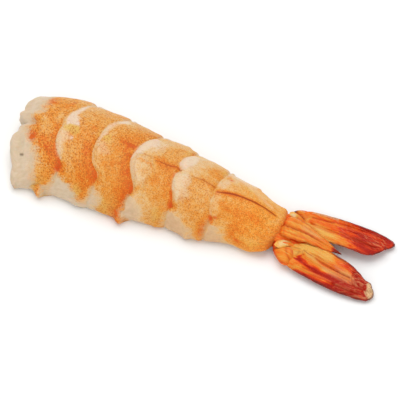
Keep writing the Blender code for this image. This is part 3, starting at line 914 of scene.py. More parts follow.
def flesh_material(dots_group):
    material, tree, shader = new_material("cooked shrimp flesh")
    run = read(tree, "run", "Vector")
    reach = read(tree, "skin_reach")
    patchy = clouds(tree, run, 0.75, 4.0, 0.6)
    fine = clouds(tree, run, 3.2, 3.0, 0.6)
    mottle = clouds(tree, run, 2.4, 2.0, 0.7)
    fibres = clouds(tree, stretched(tree, run, (0.55, 3.4, 1.0), math.radians(-32)), 1.0, 3.0, 0.6, 0.4)

    # orange skin: cream where there is little pigment, red where there is most
    tone = plus(tree, read(tree, "pigment"), ramp(tree, patchy, 0.3, 0.7, -0.13, 0.13))
    tone = plus(tree, tone, ramp(tree, fine, 0.3, 0.7, -0.16, 0.16))
    depth = times(tree, read(tree, "dots"), ramp(tree, read(tree, "pigment"), 0.3, 0.9, 0.4, 1.0))
    tone = plus(tree, tone, times(tree, ramp(tree, mottle, 0.3, 0.7, -0.22, 0.22), depth))
    tone = minus(tree, tone, ramp(tree, reach, -0.4, 1.5, 0.32, 0.0))
    pale = times(tree, read(tree, "pale"), ramp(tree, fine, 0.3, 0.65, 1.0, 0.7))
    skin = shades(
        tree,
        tone,
        (0.0, (0.74, 0.53, 0.30)),
        (0.3, (0.74, 0.42, 0.14)),
        (0.6, (0.735, 0.30, 0.042)),
        (0.85, (0.71, 0.195, 0.015)),
        (1.15, (0.63, 0.10, 0.006)),
    )
    skin = blend(tree, times(tree, read(tree, "red"), 0.8), skin, (0.64, 0.075, 0.006))
    yellow = times(tree, read(tree, "yellow"), ramp(tree, fine, 0.3, 0.6, 0.5, 0.85))
    skin = blend(tree, yellow, skin, (0.70, 0.45, 0.10))
    skin = blend(tree, pale, skin, (0.76, 0.61, 0.475))
    # painted light: the skin is made brighter towards the tail end, as if more light fell there
    skin = blend(tree, read(tree, "tail_end"), skin, (1.12, 1.12, 1.0), "MULTIPLY")

    # pigment dots and fine streaks
    spread = {"Vector": run, "Spacing per mm": 2.5, "Size": 0.42}
    dots = add(tree, "ShaderNodeGroup", spread, node_tree=dots_group).outputs["Dots"]
    density = times(tree, read(tree, "dots"), ramp(tree, tone, 0.05, 0.6, 0.25, 0.9))
    density = times(tree, density, minus(tree, 1.0, times(tree, pale, 0.85)))
    skin = blend(tree, times(tree, dots, density), skin, (0.46, 0.105, 0.008))
    skin = blend(tree, ramp(tree, fibres, 0.5, 0.72, 0.0, 0.25), skin, (0.52, 0.17, 0.03))

    # white muscle under the skin, more stained towards the tail
    muscle = blend(tree, ramp(tree, patchy, 0.3, 0.7), (0.61, 0.465, 0.31), (0.68, 0.54, 0.39))
    muscle = blend(tree, ramp(tree, fibres, 0.45, 0.7, 0.0, 0.3), muscle, (0.57, 0.40, 0.25))
    muscle = blend(tree, read(tree, "stain"), muscle, (1.0, 0.80, 0.62), "MULTIPLY")
    edge = plus(tree, reach, ramp(tree, patchy, 0.25, 0.75, -0.5, 0.5))
    edge = plus(tree, edge, ramp(tree, fine, 0.25, 0.75, -0.3, 0.3))
    skinned = ramp(tree, edge, -1.5, 1.1)
    colour = blend(tree, skinned, muscle, skin)

    line = times(tree, read(tree, "back_line"), ramp(tree, fine, 0.25, 0.6, 0.65, 0.95))
    colour = blend(tree, line, colour, (0.38, 0.055, 0.004))
    colour = blend(tree, read(tree, "speck"), colour, (0.11, 0.05, 0.02))
    seam = times(tree, read(tree, "seam"), ramp(tree, fine, 0.3, 0.6, 0.5, 1.0))
    colour = blend(tree, seam, colour, (0.60, 0.09, 0.008))

    roughness = ramp(tree, fine, 0.3, 0.7, 0.36, 0.52)
    grain = plus(tree, times(tree, fine, 0.6), times(tree, fibres, 0.8))
    finish_look(tree, shader, colour, roughness, grain, 0.4, 0.0003)
    shader.inputs["Subsurface Weight"].default_value = 0.3
    shader.inputs["Subsurface Radius"].default_value = (1.0, 0.45, 0.2)
    shader.inputs["Subsurface Scale"].default_value = 0.0012
    shader.inputs["Specular IOR Level"].default_value = 0.12
    shader.inputs["Coat Weight"].default_value = 0.05
    shader.inputs["Coat Roughness"].default_value = 0.2
    return material


# ---------------------------------------------------------------- the tail fan: shapes

# (x, half width on the left, half width on the right, top, underside)
TELSON = (
    (21.9, 2.3, 3.2, 4.4, 2.9),
    (22.5, 2.5, 3.5, 5.3, 3.4),
    (23.2, 2.6, 3.6, 5.65, 3.7),
    (24.9, 2.8, 3.5, 5.75, 3.9),
    (26.7, 2.5, 3.3, 5.6, 3.8),
    (28.4, 2.05, 2.95, 5.3, 3.75),
    (30.2, 1.6, 2.4, 4.95, 3.6),
    (32.0, 1.5, 1.85, 4.6, 3.45),
    (34.2, 1.2, 1.25, 4.1, 3.1),
    (35.4, 1.0, 0.8, 3.75, 2.9),
    (36.2, 0.55, 0.5, 3.45, 2.75),
    (38.1, 0.07, 0.07, 2.85, 2.55),
)
TELSON_Y = -0.4
# (x, inner edge, outer edge, top, underside)
STEM = (
    (21.9, 3.6, 5.6, 3.2, 1.7),
    (22.6, 3.2, 6.7, 3.6, 1.3),
    (23.4, 3.0, 7.5, 3.8, 1.1),
    (25.2, 2.9, 8.6, 3.9, 0.9),
    (26.5, 3.0, 8.85, 3.8, 0.9),
    (27.4, 3.3, 8.5, 3.4, 1.1),
)
# (x, inner edge, outer edge, height of the crest)
NEAR_INNER = (
    (25.8, 3.0, 5.8, 3.3),
    (27.0, 2.3, 6.2, 3.8),
    (30.0, 1.0, 6.7, 3.95),
    (33.5, 0.9, 7.3, 3.85),
    (37.0, 1.7, 7.6, 3.7),
    (41.0, 2.4, 7.75, 3.5),
    (44.0, 3.55, 7.65, 3.2),
    (46.2, 4.75, 7.6, 2.95),
    (47.6, 4.95, 7.6, 2.75),
    (48.7, 5.5, 7.5, 2.6),
)
FAR_INNER = (
    (25.8, 3.0, 5.8, 3.3),
    (27.0, 2.4, 6.4, 3.8),
    (30.0, 1.2, 6.8, 3.9),
    (33.5, 0.9, 7.3, 3.8),
    (37.0, 1.3, 7.6, 3.65),
    (41.0, 1.65, 7.8, 3.4),
    (44.0, 1.95, 7.7, 3.1),
    (45.6, 2.6, 7.5, 2.9),
    (47.0, 4.2, 7.2, 2.7),
    (48.1, 5.7, 6.9, 2.55),
)
NEAR_OUTER = (
    (26.2, 6.0, 7.9, 2.4),
    (27.4, 5.6, 8.9, 2.6),
    (31.0, 4.6, 9.7, 2.55),
    (36.0, 4.2, 10.2, 2.4),
    (41.0, 4.2, 10.4, 2.2),
    (45.0, 4.8, 10.15, 2.0),
    (47.4, 5.2, 9.75, 1.8),
    (48.7, 5.7, 9.2, 1.65),
    (49.6, 6.4, 8.4, 1.55),
)
FAR_OUTER = (
    (24.4, 5.4, 7.0, 3.0),
    (25.6, 5.3, 7.8, 3.4),
    (27.4, 5.3, 8.5, 3.1),
    (31.0, 4.6, 9.25, 2.55),
    (36.0, 4.2, 9.85, 2.15),
    (41.0, 4.2, 10.0, 2.0),
    (45.0, 4.8, 9.85, 1.85),
    (47.4, 5.6, 9.5, 1.75),
    (48.7, 6.4, 9.2, 1.6),
    (49.6, 7.1, 8.9, 1.5),
)


def swung(x, y, z, side, turn):
    """Points of the drawing's right half, after their half of the fan has swung into place."""
    turn = math.radians(turn)
    dx, dy = x - FAN_PIVOT[0], y - FAN_PIVOT[1]
    x = FAN_PIVOT[0] + dx * math.cos(turn) - dy * math.sin(turn)
    y = FAN_PIVOT[1] + dx * math.sin(turn) + dy * math.cos(turn)
    return np.stack([x + side.slide * step(SLIDE_FROM, SLIDE_TO, x), side.sign * y, z], -1) + FRAME_SHIFT


def drawn_along(piece, table):
    """The tube's vertices: places on it, x along the table, shares of the radius and the other columns."""
    px, py, pz = places_of(piece).T
    first, last = table[0][0], table[-1][0]
    x = first + (last - first) * (px + 0.5)
    columns = (curve(table, x, k) for k in range(1, len(table[0])))
    return px, py, pz, x, np.hypot(py, pz), *columns


def set_right(piece):
    """Makes the faces of a closed piece point outwards."""
    pick(piece)
    bpy.ops.object.mode_set(mode="EDIT")
    bpy.ops.mesh.select_all(action="SELECT")
    bpy.ops.mesh.normals_make_consistent(inside=False)
    bpy.ops.object.mode_set(mode="OBJECT")


def set_right_up(piece):
    """A sheet's faces must look up before it gets its wall."""
    mesh = piece.data
    if sum(face.normal.z * face.area for face in mesh.polygons) < 0:
        mesh.flip_normals()


def thicken(piece):
    """Gives a blade its wall, downwards, thinner where the vertex group thick is weak."""
    pick(piece)
    wall = piece.modifiers.new("wall", "SOLIDIFY")
    wall.thickness = BLADE_WALL * MM
    wall.offset = -1
    wall.vertex_group = "thick"
    wall.thickness_vertex_group = 0.35
    bpy.ops.object.modifier_apply(modifier=wall.name)


# What each tail piece tells its material about each vertex: from yellow at 0 to crimson at 1, how
# bare (on the telson partly a painted highlight), how beige, how deep in a crease (along the telson's
# sides partly painted shade) and how near a dark rim it is
SHELL_NOTES = ("redness", "bare", "beige", "crease", "rim")


def make_blade(node, table, droop, ribs, side, turn, skin, material):
    """A thin arched blade. v runs from -1 at its inner edge to 1 at its outer edge."""
    piece = sheet(f"{node}_shell", along=180, across=84)
    t, v, _ = places_of(piece).T
    # rows and columns closer together towards the edges and the tip
    v = np.sign(v) * (1 - (1 - np.abs(v)) ** 1.35)
    first, last = table[0][0], table[-1][0]
    x = first + (last - first) * (1 - (1 - t) ** 1.25)
    inner, outer, crest = (curve(table, x, k) for k in (1, 2, 3))
    middle, half = (inner + outer) / 2, (outer - inner) / 2
    ending = np.clip((x - (last - 1.0)) / 1.0, 0, 1)
    half = half * np.sqrt(np.clip(1 - ending**2, 0.0, 1))
    rough = 0.06 * lumps(x, np.sign(v) * 9, 0, 0.6) * step(0.5, 1.0, np.abs(v)) * step(first + 6, last - 3, x)
    across = v * half
    y = middle + across + rough * v
    z = crest - BLADE_ARCH * v * v - droop * step(0.35, 1.0, v)

    # ribs, creases and fine veins
    for base_v, tip_v, height, width in ribs:
        away = across - half * (base_v + (tip_v - base_v) * (x - first) / (last - first))
        along = step(first, first + 3, x) * step(last, last - 4, x)
        z = z + height * along * (bump(away, width) - 0.6 * bump(away - 1.6 * width, width * 0.7))
    crease = np.zeros_like(x)
    for strength, width, places in skin["lines"]:
        away = line_distance(places, x, across)
        z = z - 0.14 * bump(away, width) + 0.06 * bump(away - 2.2 * width, width)
        crease = np.maximum(crease, strength * bump(away, width))
    veins = np.sin((across + 0.3 * lumps(x, v, 0, 5.0)) * 10)
    z = z + 0.04 * veins * step(first + 2, first + 7, x)
    z = z + 0.12 * lumps(x, across, 3 + side.sign, 2.4)

    # tones, with frayed ends along the blade, and scratches
    frayed = x + 0.8 * lumps(x * 0.3, across * 2.2, 53, 0.8)
    (early, from_x), (late, to_x) = skin["reddening"]
    redness = early + (late - early) * step(from_x, to_x, x) + outlined(skin["tones"], frayed, across, np.add)
    wave = (across * 1.2 + 0.45 * x + 0.6 * lumps(x, across, 41, 1.8)) * 9
    scratches = step(-0.2, 0.9, np.sin(wave)) * step(-0.35, 0.2, lumps(x * 0.5, across * 2, 47, 0.8))
    scratches *= outlined(skin["scratched"], x, across)
    brink = np.minimum((1 - np.abs(v)) * half, last - x)
    dark_from, hidden = skin["rim"]
    rim = step(0.6, 0.15, brink) * step(dark_from, dark_from + 5, x)
    note(
        piece,
        SHELL_NOTES,
        np.stack([x, across + 20 * side.sign, half], -1),
        redness=np.clip(redness, 0, 1.15),
        bare=np.maximum(outlined(skin["pale"], frayed, across), scratches),
        beige=outlined(skin["beige"], x, across),
        crease=crease,
        rim=rim * (1 - step(0.0, 0.3, v) * hidden),
    )
    thick = piece.vertex_groups.new(name="thick")
    for i, weight in enumerate(1 - np.abs(v) ** 4):
        thick.add([i], float(weight), "REPLACE")
    put(piece, swung(x, y, z, side, turn))
    set_right_up(piece)
    thicken(piece)
    done(piece, material, "tail_shell", node)


# How each blade's skin is coloured. Places are (x, millimetres from the blade's middle, positive
# towards its outer edge), and patches are (strength, softness, corners).
# reddening: from yellow at 0 to crimson at 1, (tone, x) to (tone, x).
# tones: patches that are redder than that, or yellower.
# scratched, pale and beige: patches with fine scratches, bare patches, and a beige tip or edge.
# lines: creases, (strength, width, places).
# rim: where the dark edge begins, and whether the outer edge goes without it because it lies over
# the other blade.
NEAR_INNER_SKIN = {
    "reddening": ((0.05, 31), (0.34, 40)),
    "tones": (
        (-0.12, 0.5, ((29.0, -0.8), (30.9, -1.8), (33.7, -1.8), (36.6, -2.2), (38.0, -1.0), (35.6, -0.3),
            (32.3, 0.2))),
        (0.22, 0.35, ((33.7, 1.1), (36.0, 0.6), (38.2, 0.5), (40.3, 0.8), (38.7, 1.6), (36.5, 1.7),
            (34.5, 1.8))),
        (0.28, 0.4, ((29.8, 1.1), (30.9, 1.7), (32.6, 1.9), (35.4, 2.3), (34.8, 3.0), (32.6, 3.1),
            (30.7, 2.6))),
        (0.2, 0.8, ((37.2, -2.6), (39.1, -2.0), (41.1, -1.2), (40.5, 0.0), (38.9, -0.3), (37.5, -1.0))),
        (0.3, 0.7, ((40.2, -1.2), (41.6, -0.5), (42.8, 0.3), (43.2, 1.2), (44.5, 0.5), (43.5, -3),
            (40.5, -3))),
        (0.74, 0.8, ((43.6, 1.2), (43.4, 0.1), (43.0, -1.2), (42.6, -3), (49, -3), (49, 3), (43.0, 3),
            (43.3, 1.9))),
        (0.4, 0.5, ((26.6, 2.2), (28.2, 1.9), (29.6, 1.9), (30.2, 2.6), (29.5, 4), (26.6, 4))),
        (0.64, 0.3, ((28.6, 2.1), (29.4, 1.7), (30.6, 2.3), (32.6, 2.95), (35.4, 2.8), (38.0, 2.4),
            (40.2, 2.1), (43.4, 1.8), (43.4, 4), (28.6, 4))),
    ),
    "scratched": (
        (0.6, 0.5, ((43.2, -2.5), (43.4, 1.8), (46.4, 1.6), (47.2, 0.2), (46.8, -2))),
        (0.35, 0.8, ((33, -2.4), (33, 1.0), (43, 1.6), (43, -2.4))),
    ),
    "pale": (
        (0.8, 0.6, ((35.6, 2.0), (37.6, 1.6), (40.4, 1.7), (42.8, 1.3), (43.7, 1.7), (42.2, 2.2),
            (39.7, 2.4), (36.9, 2.4))),
        (0.9, 0.8, ((38.5, 0.3), (40.8, 0.3), (42.8, 0.0), (43.6, 0.5), (43.9, 1.3), (41.3, 1.4),
            (39.3, 1.2))),
        (0.4, 0.3, ((30.5, 0.9), (33.0, 1.4), (35.5, 1.5), (35.5, 1.9), (32.8, 1.9))),
        (0.5, 0.3, ((44.7, -0.5), (45.2, -0.3), (45.1, 0.1), (44.7, 0))),
        (0.55, 0.35, ((44.2, 1.0), (45.1, 1.0), (45.3, 1.4), (44.3, 1.5))),
        (0.45, 0.3, ((46.0, 0.5), (46.6, 0.6), (46.6, 0.9), (46.1, 0.9))),
        (0.4, 0.25, ((43.6, 0.9), (44.0, 1.0), (43.9, 1.3), (43.6, 1.2))),
    ),
    "beige": ((1.0, 0.25, ((47.3, -1.5), (47.1, 0.0), (47.6, 0.6), (47.5, 1.3), (50, 1.5), (50, -1.5))),),
    "lines": (
        (0.75, 0.22, ((29.8, 0.56), (31.0, 0.94), (32.8, 1.1), (34.6, 1.25), (36.5, 1.2), (38.5, 1.25),
            (40.7, 1.2), (42.8, 1.0))),
        (0.45, 0.16, ((31.9, 0.43), (33.5, 0.4), (35.3, 0.5), (37.6, 0.58), (39.3, 0.57))),
        (0.42, 0.2, ((29.0, 2.6), (28.4, 1.9), (28.7, 1.2), (29.5, 0.9), (30.0, 1.5))),
        (0.35, 0.2, ((26.4, 0.6), (27.6, 0.3), (28.6, 0.5))),
        (0.6, 0.18, ((42.4, -1.6), (42.9, -0.8), (43.2, 0.1), (43.2, 0.8), (43.6, 1.4), (44.0, 1.8))),
        (0.5, 0.25, ((37.4, -2.5), (39.5, -2.3), (41.4, -2.0), (42.8, -1.7))),
        (0.4, 0.14, ((44.4, 0.5), (45.6, 0.3), (46.8, 0.0))),
    ),
    "rim": (31, 1),
}
FAR_INNER_SKIN = {
    "reddening": ((0.16, 31), (0.34, 38)),
    "tones": (
        (-0.1, 0.5, ((28.5, -1.1), (31.3, -0.7), (33.6, -1.0), (36.0, -1.4), (35.9, -2.4), (32.1, -2.1))),
        (0.26, 0.4, ((27.4, -0.3), (29.0, -0.2), (31.0, 0.0), (33.2, -0.1), (35.5, -0.5), (37.9, -1.0),
            (39.8, -1.5), (46, -2), (50, -1), (50, 4), (27, 4))),
        (0.2, 0.7, ((34.7, 1.4), (36.0, 0.1), (37.8, -0.6), (39.6, -1.2), (46, -2.0), (50, -1), (50, 4),
            (36.6, 3.4))),
        (0.16, 0.8, ((39.0, 4), (40.2, -1.0), (46, -2.0), (50, -1), (50, 4))),
        (0.5, 0.6, ((40.8, -1.4), (41.6, -2.0), (41.0, -4), (50, -4), (50, -1.6))),
        (0.3, 0.6, ((38.6, -1.4), (39.6, -1.6), (39.0, -4), (41.4, -4), (41.6, -2.2), (41.0, -1.6))),
    ),
    "scratched": (
        (0.55, 0.7, ((40.6, 3.0), (41.6, 1.6), (43.4, 0.3), (45.6, -0.6), (47.4, -0.2), (47.2, 4),
            (41.0, 4))),
        (0.3, 0.8, ((34, 3), (34, -2), (41, -2), (41, 3))),
    ),
    "pale": (
        (0.4, 0.3, ((28.3, -0.9), (30.0, -0.5), (32.3, -0.4), (34.7, -0.7), (32.3, -0.8), (30.0, -0.8))),
    ),
    "beige": (),
    "lines": (
        (0.6, 0.2, ((28.0, -0.5), (29.0, -0.2), (30.9, 0.0), (33.2, 0.0), (35.5, -0.25), (37.9, -0.6),
            (39.6, -0.6), (41.8, -0.5))),
        (0.55, 0.2, ((27.4, 2.1), (29.2, 2.5), (31.1, 2.8), (33.1, 3.1))),
        (0.5, 0.16, ((35.4, 1.4), (38.5, 1.9), (42.2, 1.1))),
        (0.7, 0.24, ((35.7, 0.5), (38.2, 0.25), (40.3, 0.0), (42.3, 0.05), (43.9, -0.05), (45.6, -0.3))),
        (0.35, 0.15, ((34.0, 2.2), (37.0, 2.7), (41.0, 2.6))),
        (0.35, 0.12, ((44.0, 2.4), (45.8, 1.0))),
        (0.35, 0.12, ((45.2, 2.4), (46.6, 1.0))),
        (0.45, 0.2, ((26.0, 0.1), (26.2, -0.8), (27.0, -1.3))),
    ),
    "rim": (31, 1),
}
NEAR_OUTER_SKIN = {
    "reddening": ((0.28, 28), (0.56, 38)),
    "tones": (
        (-0.16, 0.3, ((28.2, 0.6), (30.6, 1.3), (32.8, 1.5), (34.5, 1.8), (32.5, 2.0), (30.2, 1.6))),
        (0.7, 0.3, ((27.0, -1.6), (27.0, -4), (44, -4), (44.0, 0.8), (42.4, 1.2), (40.0, 1.35),
            (37.8, 1.2), (35.2, 1.0), (32.8, 0.72), (30.6, 0.3), (28.3, -0.5))),
        (0.55, 0.35, ((29.3, 1.85), (30.9, 1.95), (34.2, 2.2), (37.7, 2.3), (40.0, 2.0), (40, 5), (28, 5))),
        (0.5, 0.9, ((37.8, 1.2), (39.6, 0.6), (44, 0.3), (44, -4), (50, -4), (50, 5), (39.5, 5),
            (40.0, 2.0))),
    ),
    "scratched": ((0.4, 0.6, ((40, 0.6), (40, 3), (47, 3), (47.6, 0.6), (44, 0.4))),),
    "pale": (
        (0.3, 0.25, ((40.6, 1.4), (43.5, 1.35), (43.6, 1.6), (40.8, 1.7))),
        (0.3, 0.22, ((42.2, 1.0), (45.5, 0.95), (45.6, 1.15), (42.4, 1.2))),
        (0.3, 0.25, ((32.6, 1.2), (36, 1.3), (39, 1.45), (39, 1.7), (35, 1.6))),
        (0.7, 0.25, ((45.2, 2.05), (46.6, 1.7), (48.2, 1.3), (48.4, 1.55), (46.6, 2.0))),
    ),
    "beige": ((1.0, 0.25, ((46.9, -2), (47.1, 0.0), (47.7, 0.8), (48.6, 1.3), (50.5, 2), (50.5, -2))),),
    "lines": (
        (0.5, 0.18, ((31.0, 0.9), (34.3, 1.1), (37.4, 1.3), (40.7, 1.35), (43.9, 1.25))),
        (0.5, 0.18, ((38.0, 1.9), (41.0, 1.75), (44.0, 1.7), (46.5, 1.2))),
        (0.35, 0.14, ((30.4, 1.8), (34.0, 2.1), (37.0, 2.2))),
        (0.5, 0.14, ((47.0, -0.9), (47.8, 0.4), (48.6, 1.2))),
    ),
    "rim": (27, 0),
}
FAR_OUTER_SKIN = {
    "reddening": ((0.3, 28), (0.46, 33)),
    "tones": (
        (0.16, 0.4, ((27.5, -1.0), (29.3, -0.7), (31.2, -0.4), (33.1, 0.2), (33.1, 1.0), (31.2, 0.5),
            (29.3, 0.1))),
        (0.2, 0.8, ((35.6, 5), (36.0, -5), (50.5, -5), (50.5, 5))),
        (0.12, 0.8, ((39.4, 5), (40.0, -5), (50.5, -5), (50.5, 5))),
        (0.12, 0.6, ((45.6, -5), (47.0, 5), (50.5, 5), (50.5, -5))),
        (0.32, 0.35, ((37.0, 2.6), (39.9, 1.9), (42.5, 1.3), (45.1, 0.8), (47.7, 0.2), (50.5, -0.8),
            (50.5, 5), (37, 5))),
    ),
    "scratched": (
        (0.6, 0.7, ((40.6, 0.2), (42.2, 1.0), (45.0, 0.8), (47.2, 0.2), (47.8, -0.9), (47, -3), (41, -3))),
        (0.3, 0.6, ((33, 2.4), (33, 0), (41, -1), (41, 2))),
    ),
    "pale": (),
    "beige": ((0.75, 0.25, ((26.9, 0.2), (27.8, 0.5), (29.3, 0.9), (31.3, 1.3), (33.6, 1.8), (33.4, 3),
        (30, 3), (27.1, 1.6))),),
    "lines": (
        (0.65, 0.22, ((27.5, -0.8), (29.3, -0.5), (31.2, -0.1), (33.1, 0.5))),
        (0.45, 0.16, ((33.5, 0.6), (37.0, 1.0), (41.0, 1.1))),
        (0.4, 0.14, ((35.5, 1.6), (39.0, 1.8), (43.0, 1.6))),
        (0.4, 0.12, ((44.2, 1.4), (45.6, 0.0))),
        (0.4, 0.12, ((45.4, 1.2), (46.6, -0.2))),
    ),
    "rim": (30, 0),
}


def make_telson(material):
    """The spike in the middle of the fan: broad and soft at its base, a hard dark point at its tip."""
    piece = tube("telson_spike", around=120, along=(50, 4), rings_front=8, rings_rear=3)
    _, py, pz, x, shrink, left, right, top, under = drawn_along(piece, TELSON)
    last = TELSON[-1][0]
    turn = np.arctan2(py, pz)
    v = np.sin(turn)
    off = np.abs(v)
    half = np.where(v < 0, left, right)
    edge = (top + under) / 2
    arch = 1 - off**2.4
    taper = step(last, last - 6, x)
    sway = 0.06 * np.sin(x * 0.7)
    groove = 0.36 * taper * bump(v - sway, 0.12)
    second = 0.14 * step(23.2, 24.5, x) * taper * bump(off - 0.58 - 0.05 * np.sin(x), 0.09)
    ridges = 0.2 * taper * (bump(np.abs(v - sway) - 0.3, 0.15) + 0.5 * bump(off - 0.8, 0.1))
    folds = 0.12 * np.sin((x - 22.2) * 3.4 + v * 2.2) * step(26.2, 23.4, x)
    fine = 0.1 * lumps(x, v * half, 7, 1.2) + 0.06 * np.sin(x * 5 + 6 * v) * step(33, 27, x)
    half = half + np.where(v < 0, 0.14, 0.06) * np.sin(x * 2.1) * step(24, 26, x) * step(36, 34, x)
    upper = edge + 0.1 + (top - edge - 0.1) * arch - groove - second + ridges + folds + fine
    lower = edge - 0.1 - (edge - under - 0.1) * arch + fine
    z = np.where(np.cos(turn) >= 0, upper, lower)
    y = TELSON_Y + half * v * shrink
    z = edge + (z - edge) * shrink
    spike = step(35.0, 36.2, x - 0.5 * off)
    # dark lines on the telson: down its middle, and along both sides, where they are partly its dark edge and
    # partly painted shade where it meets the blades
    line = np.maximum(0.7 * bump(v - sway - 0.03, 0.1) * step(34, 30, x), 0.6 * step(0.85, 0.98, off))
    line = np.maximum(line, 0.25 * bump(off - 0.6, 0.07) * step(23.4, 24.6, x) * step(31, 27, x))
    line = np.maximum(line, 0.4 * bump(x - 23.0 - 0.5 * v * v, 0.22) * step(0.2, -0.3, v))
    # a pale peach band on the upper right half of the telson: partly paler shell, partly a painted highlight
    # on its raised band
    bare = 0.55 * patch(x, v, 29.6, 0.42, 4.0, 0.3) * step(26.2, 27.4, x)
    note(
        piece,
        SHELL_NOTES,
        np.stack([x, v * half, shrink], -1),
        redness=np.clip(0.25 + 0.2 * step(23.2, 22.4, x) + 0.16 * step(30, 35, x) + 0.7 * spike, 0, 1),
        bare=np.maximum(bare, 0.2 * patch(x, v, 29.5, -0.5, 3.4, 0.2)),
        crease=line * (shrink > 0.999),
        rim=0.85 * spike,
    )
    put(piece, np.stack([x, y, z], -1) + FRAME_SHIFT)
    set_right(piece)
    done(piece, material, "tail_shell", "telson")


# Lines on the stems, seen from above: (x, distance from the middle)
STEM_FOLD = ((22.2, 6.5), (24.4, 5.5), (25.9, 4.7), (27.6, 4.35), (29.0, 4.7))
STEM_CREASE = ((27.8, 8.4), (27.2, 7.6), (26.2, 6.8), (25.6, 5.9))


def make_stem(node, side, material):
    """The short stem that carries two blades, with folds that run on into their ribs."""
    piece = tube(f"{node}_shell", around=120, along=(50, 2), rings_front=10, rings_rear=10)
    px, py, pz, x, shrink, inner, outer, top, under = drawn_along(piece, STEM)
    turn = np.arctan2(pz, py)
    if side is NEAR_HALF:
        outer = outer + 0.25 * step(23, 26, x)
    else:
        outer = outer - 0.85 * step(23, 26, x) + 0.5 * bump(x - 21.8, 0.7)
    middle, half = (inner + outer) / 2, (outer - inner) / 2
    across = np.sign(np.cos(turn)) * np.abs(np.cos(turn)) ** 0.8 * shrink
    bulge = np.sqrt(np.clip(1 - shrink**2, 0, 1))
    x = x + np.where(px > 0.4999, 0.5 * bulge, np.where(px < -0.4999, -0.3 * bulge, 0))
    y = middle + half * across
    drop = 0.5 * step(26.8, 28.0, x) if side is NEAR_HALF else 0.6 + 0.65 * step(24.6, 27.5, x)
    z = (top + under) / 2 + (top - under) / 2 * np.sin(turn) * shrink - 0.3 * across
    above = step(0.0, 0.5, np.sin(turn))
    fold = line_distance(STEM_FOLD, x, y)
    crease = line_distance(STEM_CREASE, x, y)
    z = z - above * (drop + 0.45 * bump(fold, 0.3) + 0.18 * bump(crease, 0.3))
    z = z + above * 0.25 * (bump(fold - 0.9, 0.5) + 0.4 * bump(crease - 0.9, 0.4))
    z = z + 0.1 * lumps(x, y, 11, 1.4)
    brink = step(23.4, 22.2, x)
    rim = 0.3 * brink * step(0.2, -0.6, np.sin(turn)) + 0.4 * step(0.85, 1.0, across) * above
    if side is FAR_HALF:
        rim = rim + patch(x, y, 22.5, 6.5, 0.7, 0.7)
    line = np.maximum(bump(fold, 0.22), 0.5 * bump(crease, 0.22)) * above
    note(
        piece,
        SHELL_NOTES,
        np.stack([x, y + 20 * side.sign, shrink], -1),
        redness=np.clip(0.3 + 0.45 * brink + 0.2 * step(0.8, 1.0, np.abs(across)), 0, 1),
        bare=0.25 * patch(x, y, 27.0, 5.6, 1.2, 0.6),
        crease=np.maximum(line, 0.5 * brink),
        rim=rim,
    )
    put(piece, swung(x, y, z, side, side.swing))
    set_right(piece)
    done(piece, material, "tail_shell", node)


# (x, half width, top, underside)
FAN_ROOT = (
    (21.6, 4.4, 4.7, 2.2),
    (23.2, 4.9, 4.3, 2.0),
    (26.0, 4.4, 4.0, 2.2),
    (29.0, 3.2, 3.75, 2.6),
    (32.0, 2.0, 3.5, 2.8),
    (34.0, 0.8, 3.2, 2.9),
)


def make_fan_root(material):
    """The skin under the telson that joins the stems to each other and to the flesh."""
    piece = tube("fan_root", around=72, along=(30, 2), rings_front=5, rings_rear=5)
    _, py, pz, x, shrink, half, top, under = drawn_along(piece, FAN_ROOT)
    turn = np.arctan2(pz, py)
    across = np.sign(np.cos(turn)) * np.abs(np.cos(turn)) ** 0.7 * shrink
    y = TELSON_Y + 0.3 + half * across
    z = (top + under) / 2 + (top - under) / 2 * np.sin(turn) * shrink + 0.1 * lumps(x, y, 0, 1.2)
    note(piece, SHELL_NOTES, np.stack([x, y, shrink], -1), redness=np.full_like(x, 0.5))
    put(piece, np.stack([x, y, z], -1) + FRAME_SHIFT)
    set_right(piece)
    done(piece, material, "tail_shell")


def make_pad(name, place, size, turn, material):
    """A soft white tongue of muscle that lies over the root of a stem."""
    bpy.ops.object.select_all(action="DESELECT")
    bpy.ops.mesh.primitive_uv_sphere_add(segments=64, ring_count=40, radius=1)
    piece = start_piece(name)
    x, y, z = places_of(piece).T
    crease = 0.1 * bump(y - 0.15 - 0.15 * np.sin(3 * x), 0.18) * (z > 0)
    swell = 1 + 0.22 * lumps(x, y, z, 0.7)
    core = 0.7 * step(1.0, 0.1, np.hypot(x * 1.1, y) + 0.3 * lumps(x, y, z, 0.5))
    x, y = x * size[0] * swell, y * size[1] * swell * (1 - 0.25 * x)
    z = (z - crease) * size[2] * swell
    c, s = math.cos(math.radians(turn)), math.sin(math.radians(turn))
    points = np.stack([place[0] + x * c - y * s, place[1] + x * s + y * c, place[2] + z - 0.12 * x], -1)
    note(
        piece,
        FLESH_NOTES,
        np.stack([x, y, z + 30], -1),
        skin_reach=1.2 - 1.3 * core,
        pigment=0.55 - 0.35 * core,
        pale=0.5 * core,
        yellow=0.25 + 0.1 * core,
        dots=np.full_like(x, 0.2),
        stain=np.full_like(x, 0.5),
        # the pads take the full painted brightening of the tail end
        tail_end=np.ones_like(x),
    )
    put(piece, points + FRAME_SHIFT)
    done(piece, material, "flesh")


# The blades' ribs: (place across at the base, at the tip, height, width)
NEAR_INNER_RIBS = (
    (0.4, 0.2, 0.3, 0.3),
    (0.66, 0.5, 0.2, 0.16),
    (0.08, -0.1, 0.16, 0.14),
    (-0.15, -0.3, 0.12, 0.12),
    (-0.5, -0.5, 0.12, 0.16),
)
FAR_INNER_RIBS = (
    (0.0, -0.3, 0.3, 0.22),
    (0.35, -0.05, 0.2, 0.16),
    (0.62, 0.25, 0.2, 0.14),
    (0.85, 0.55, 0.2, 0.14),
    (-0.6, -0.75, 0.1, 0.14),
)
OUTER_RIBS = (
    (0.5, 0.42, 0.24, 0.2),
    (0.78, 0.7, 0.22, 0.14),
    (0.2, 0.15, 0.16, 0.2),
)


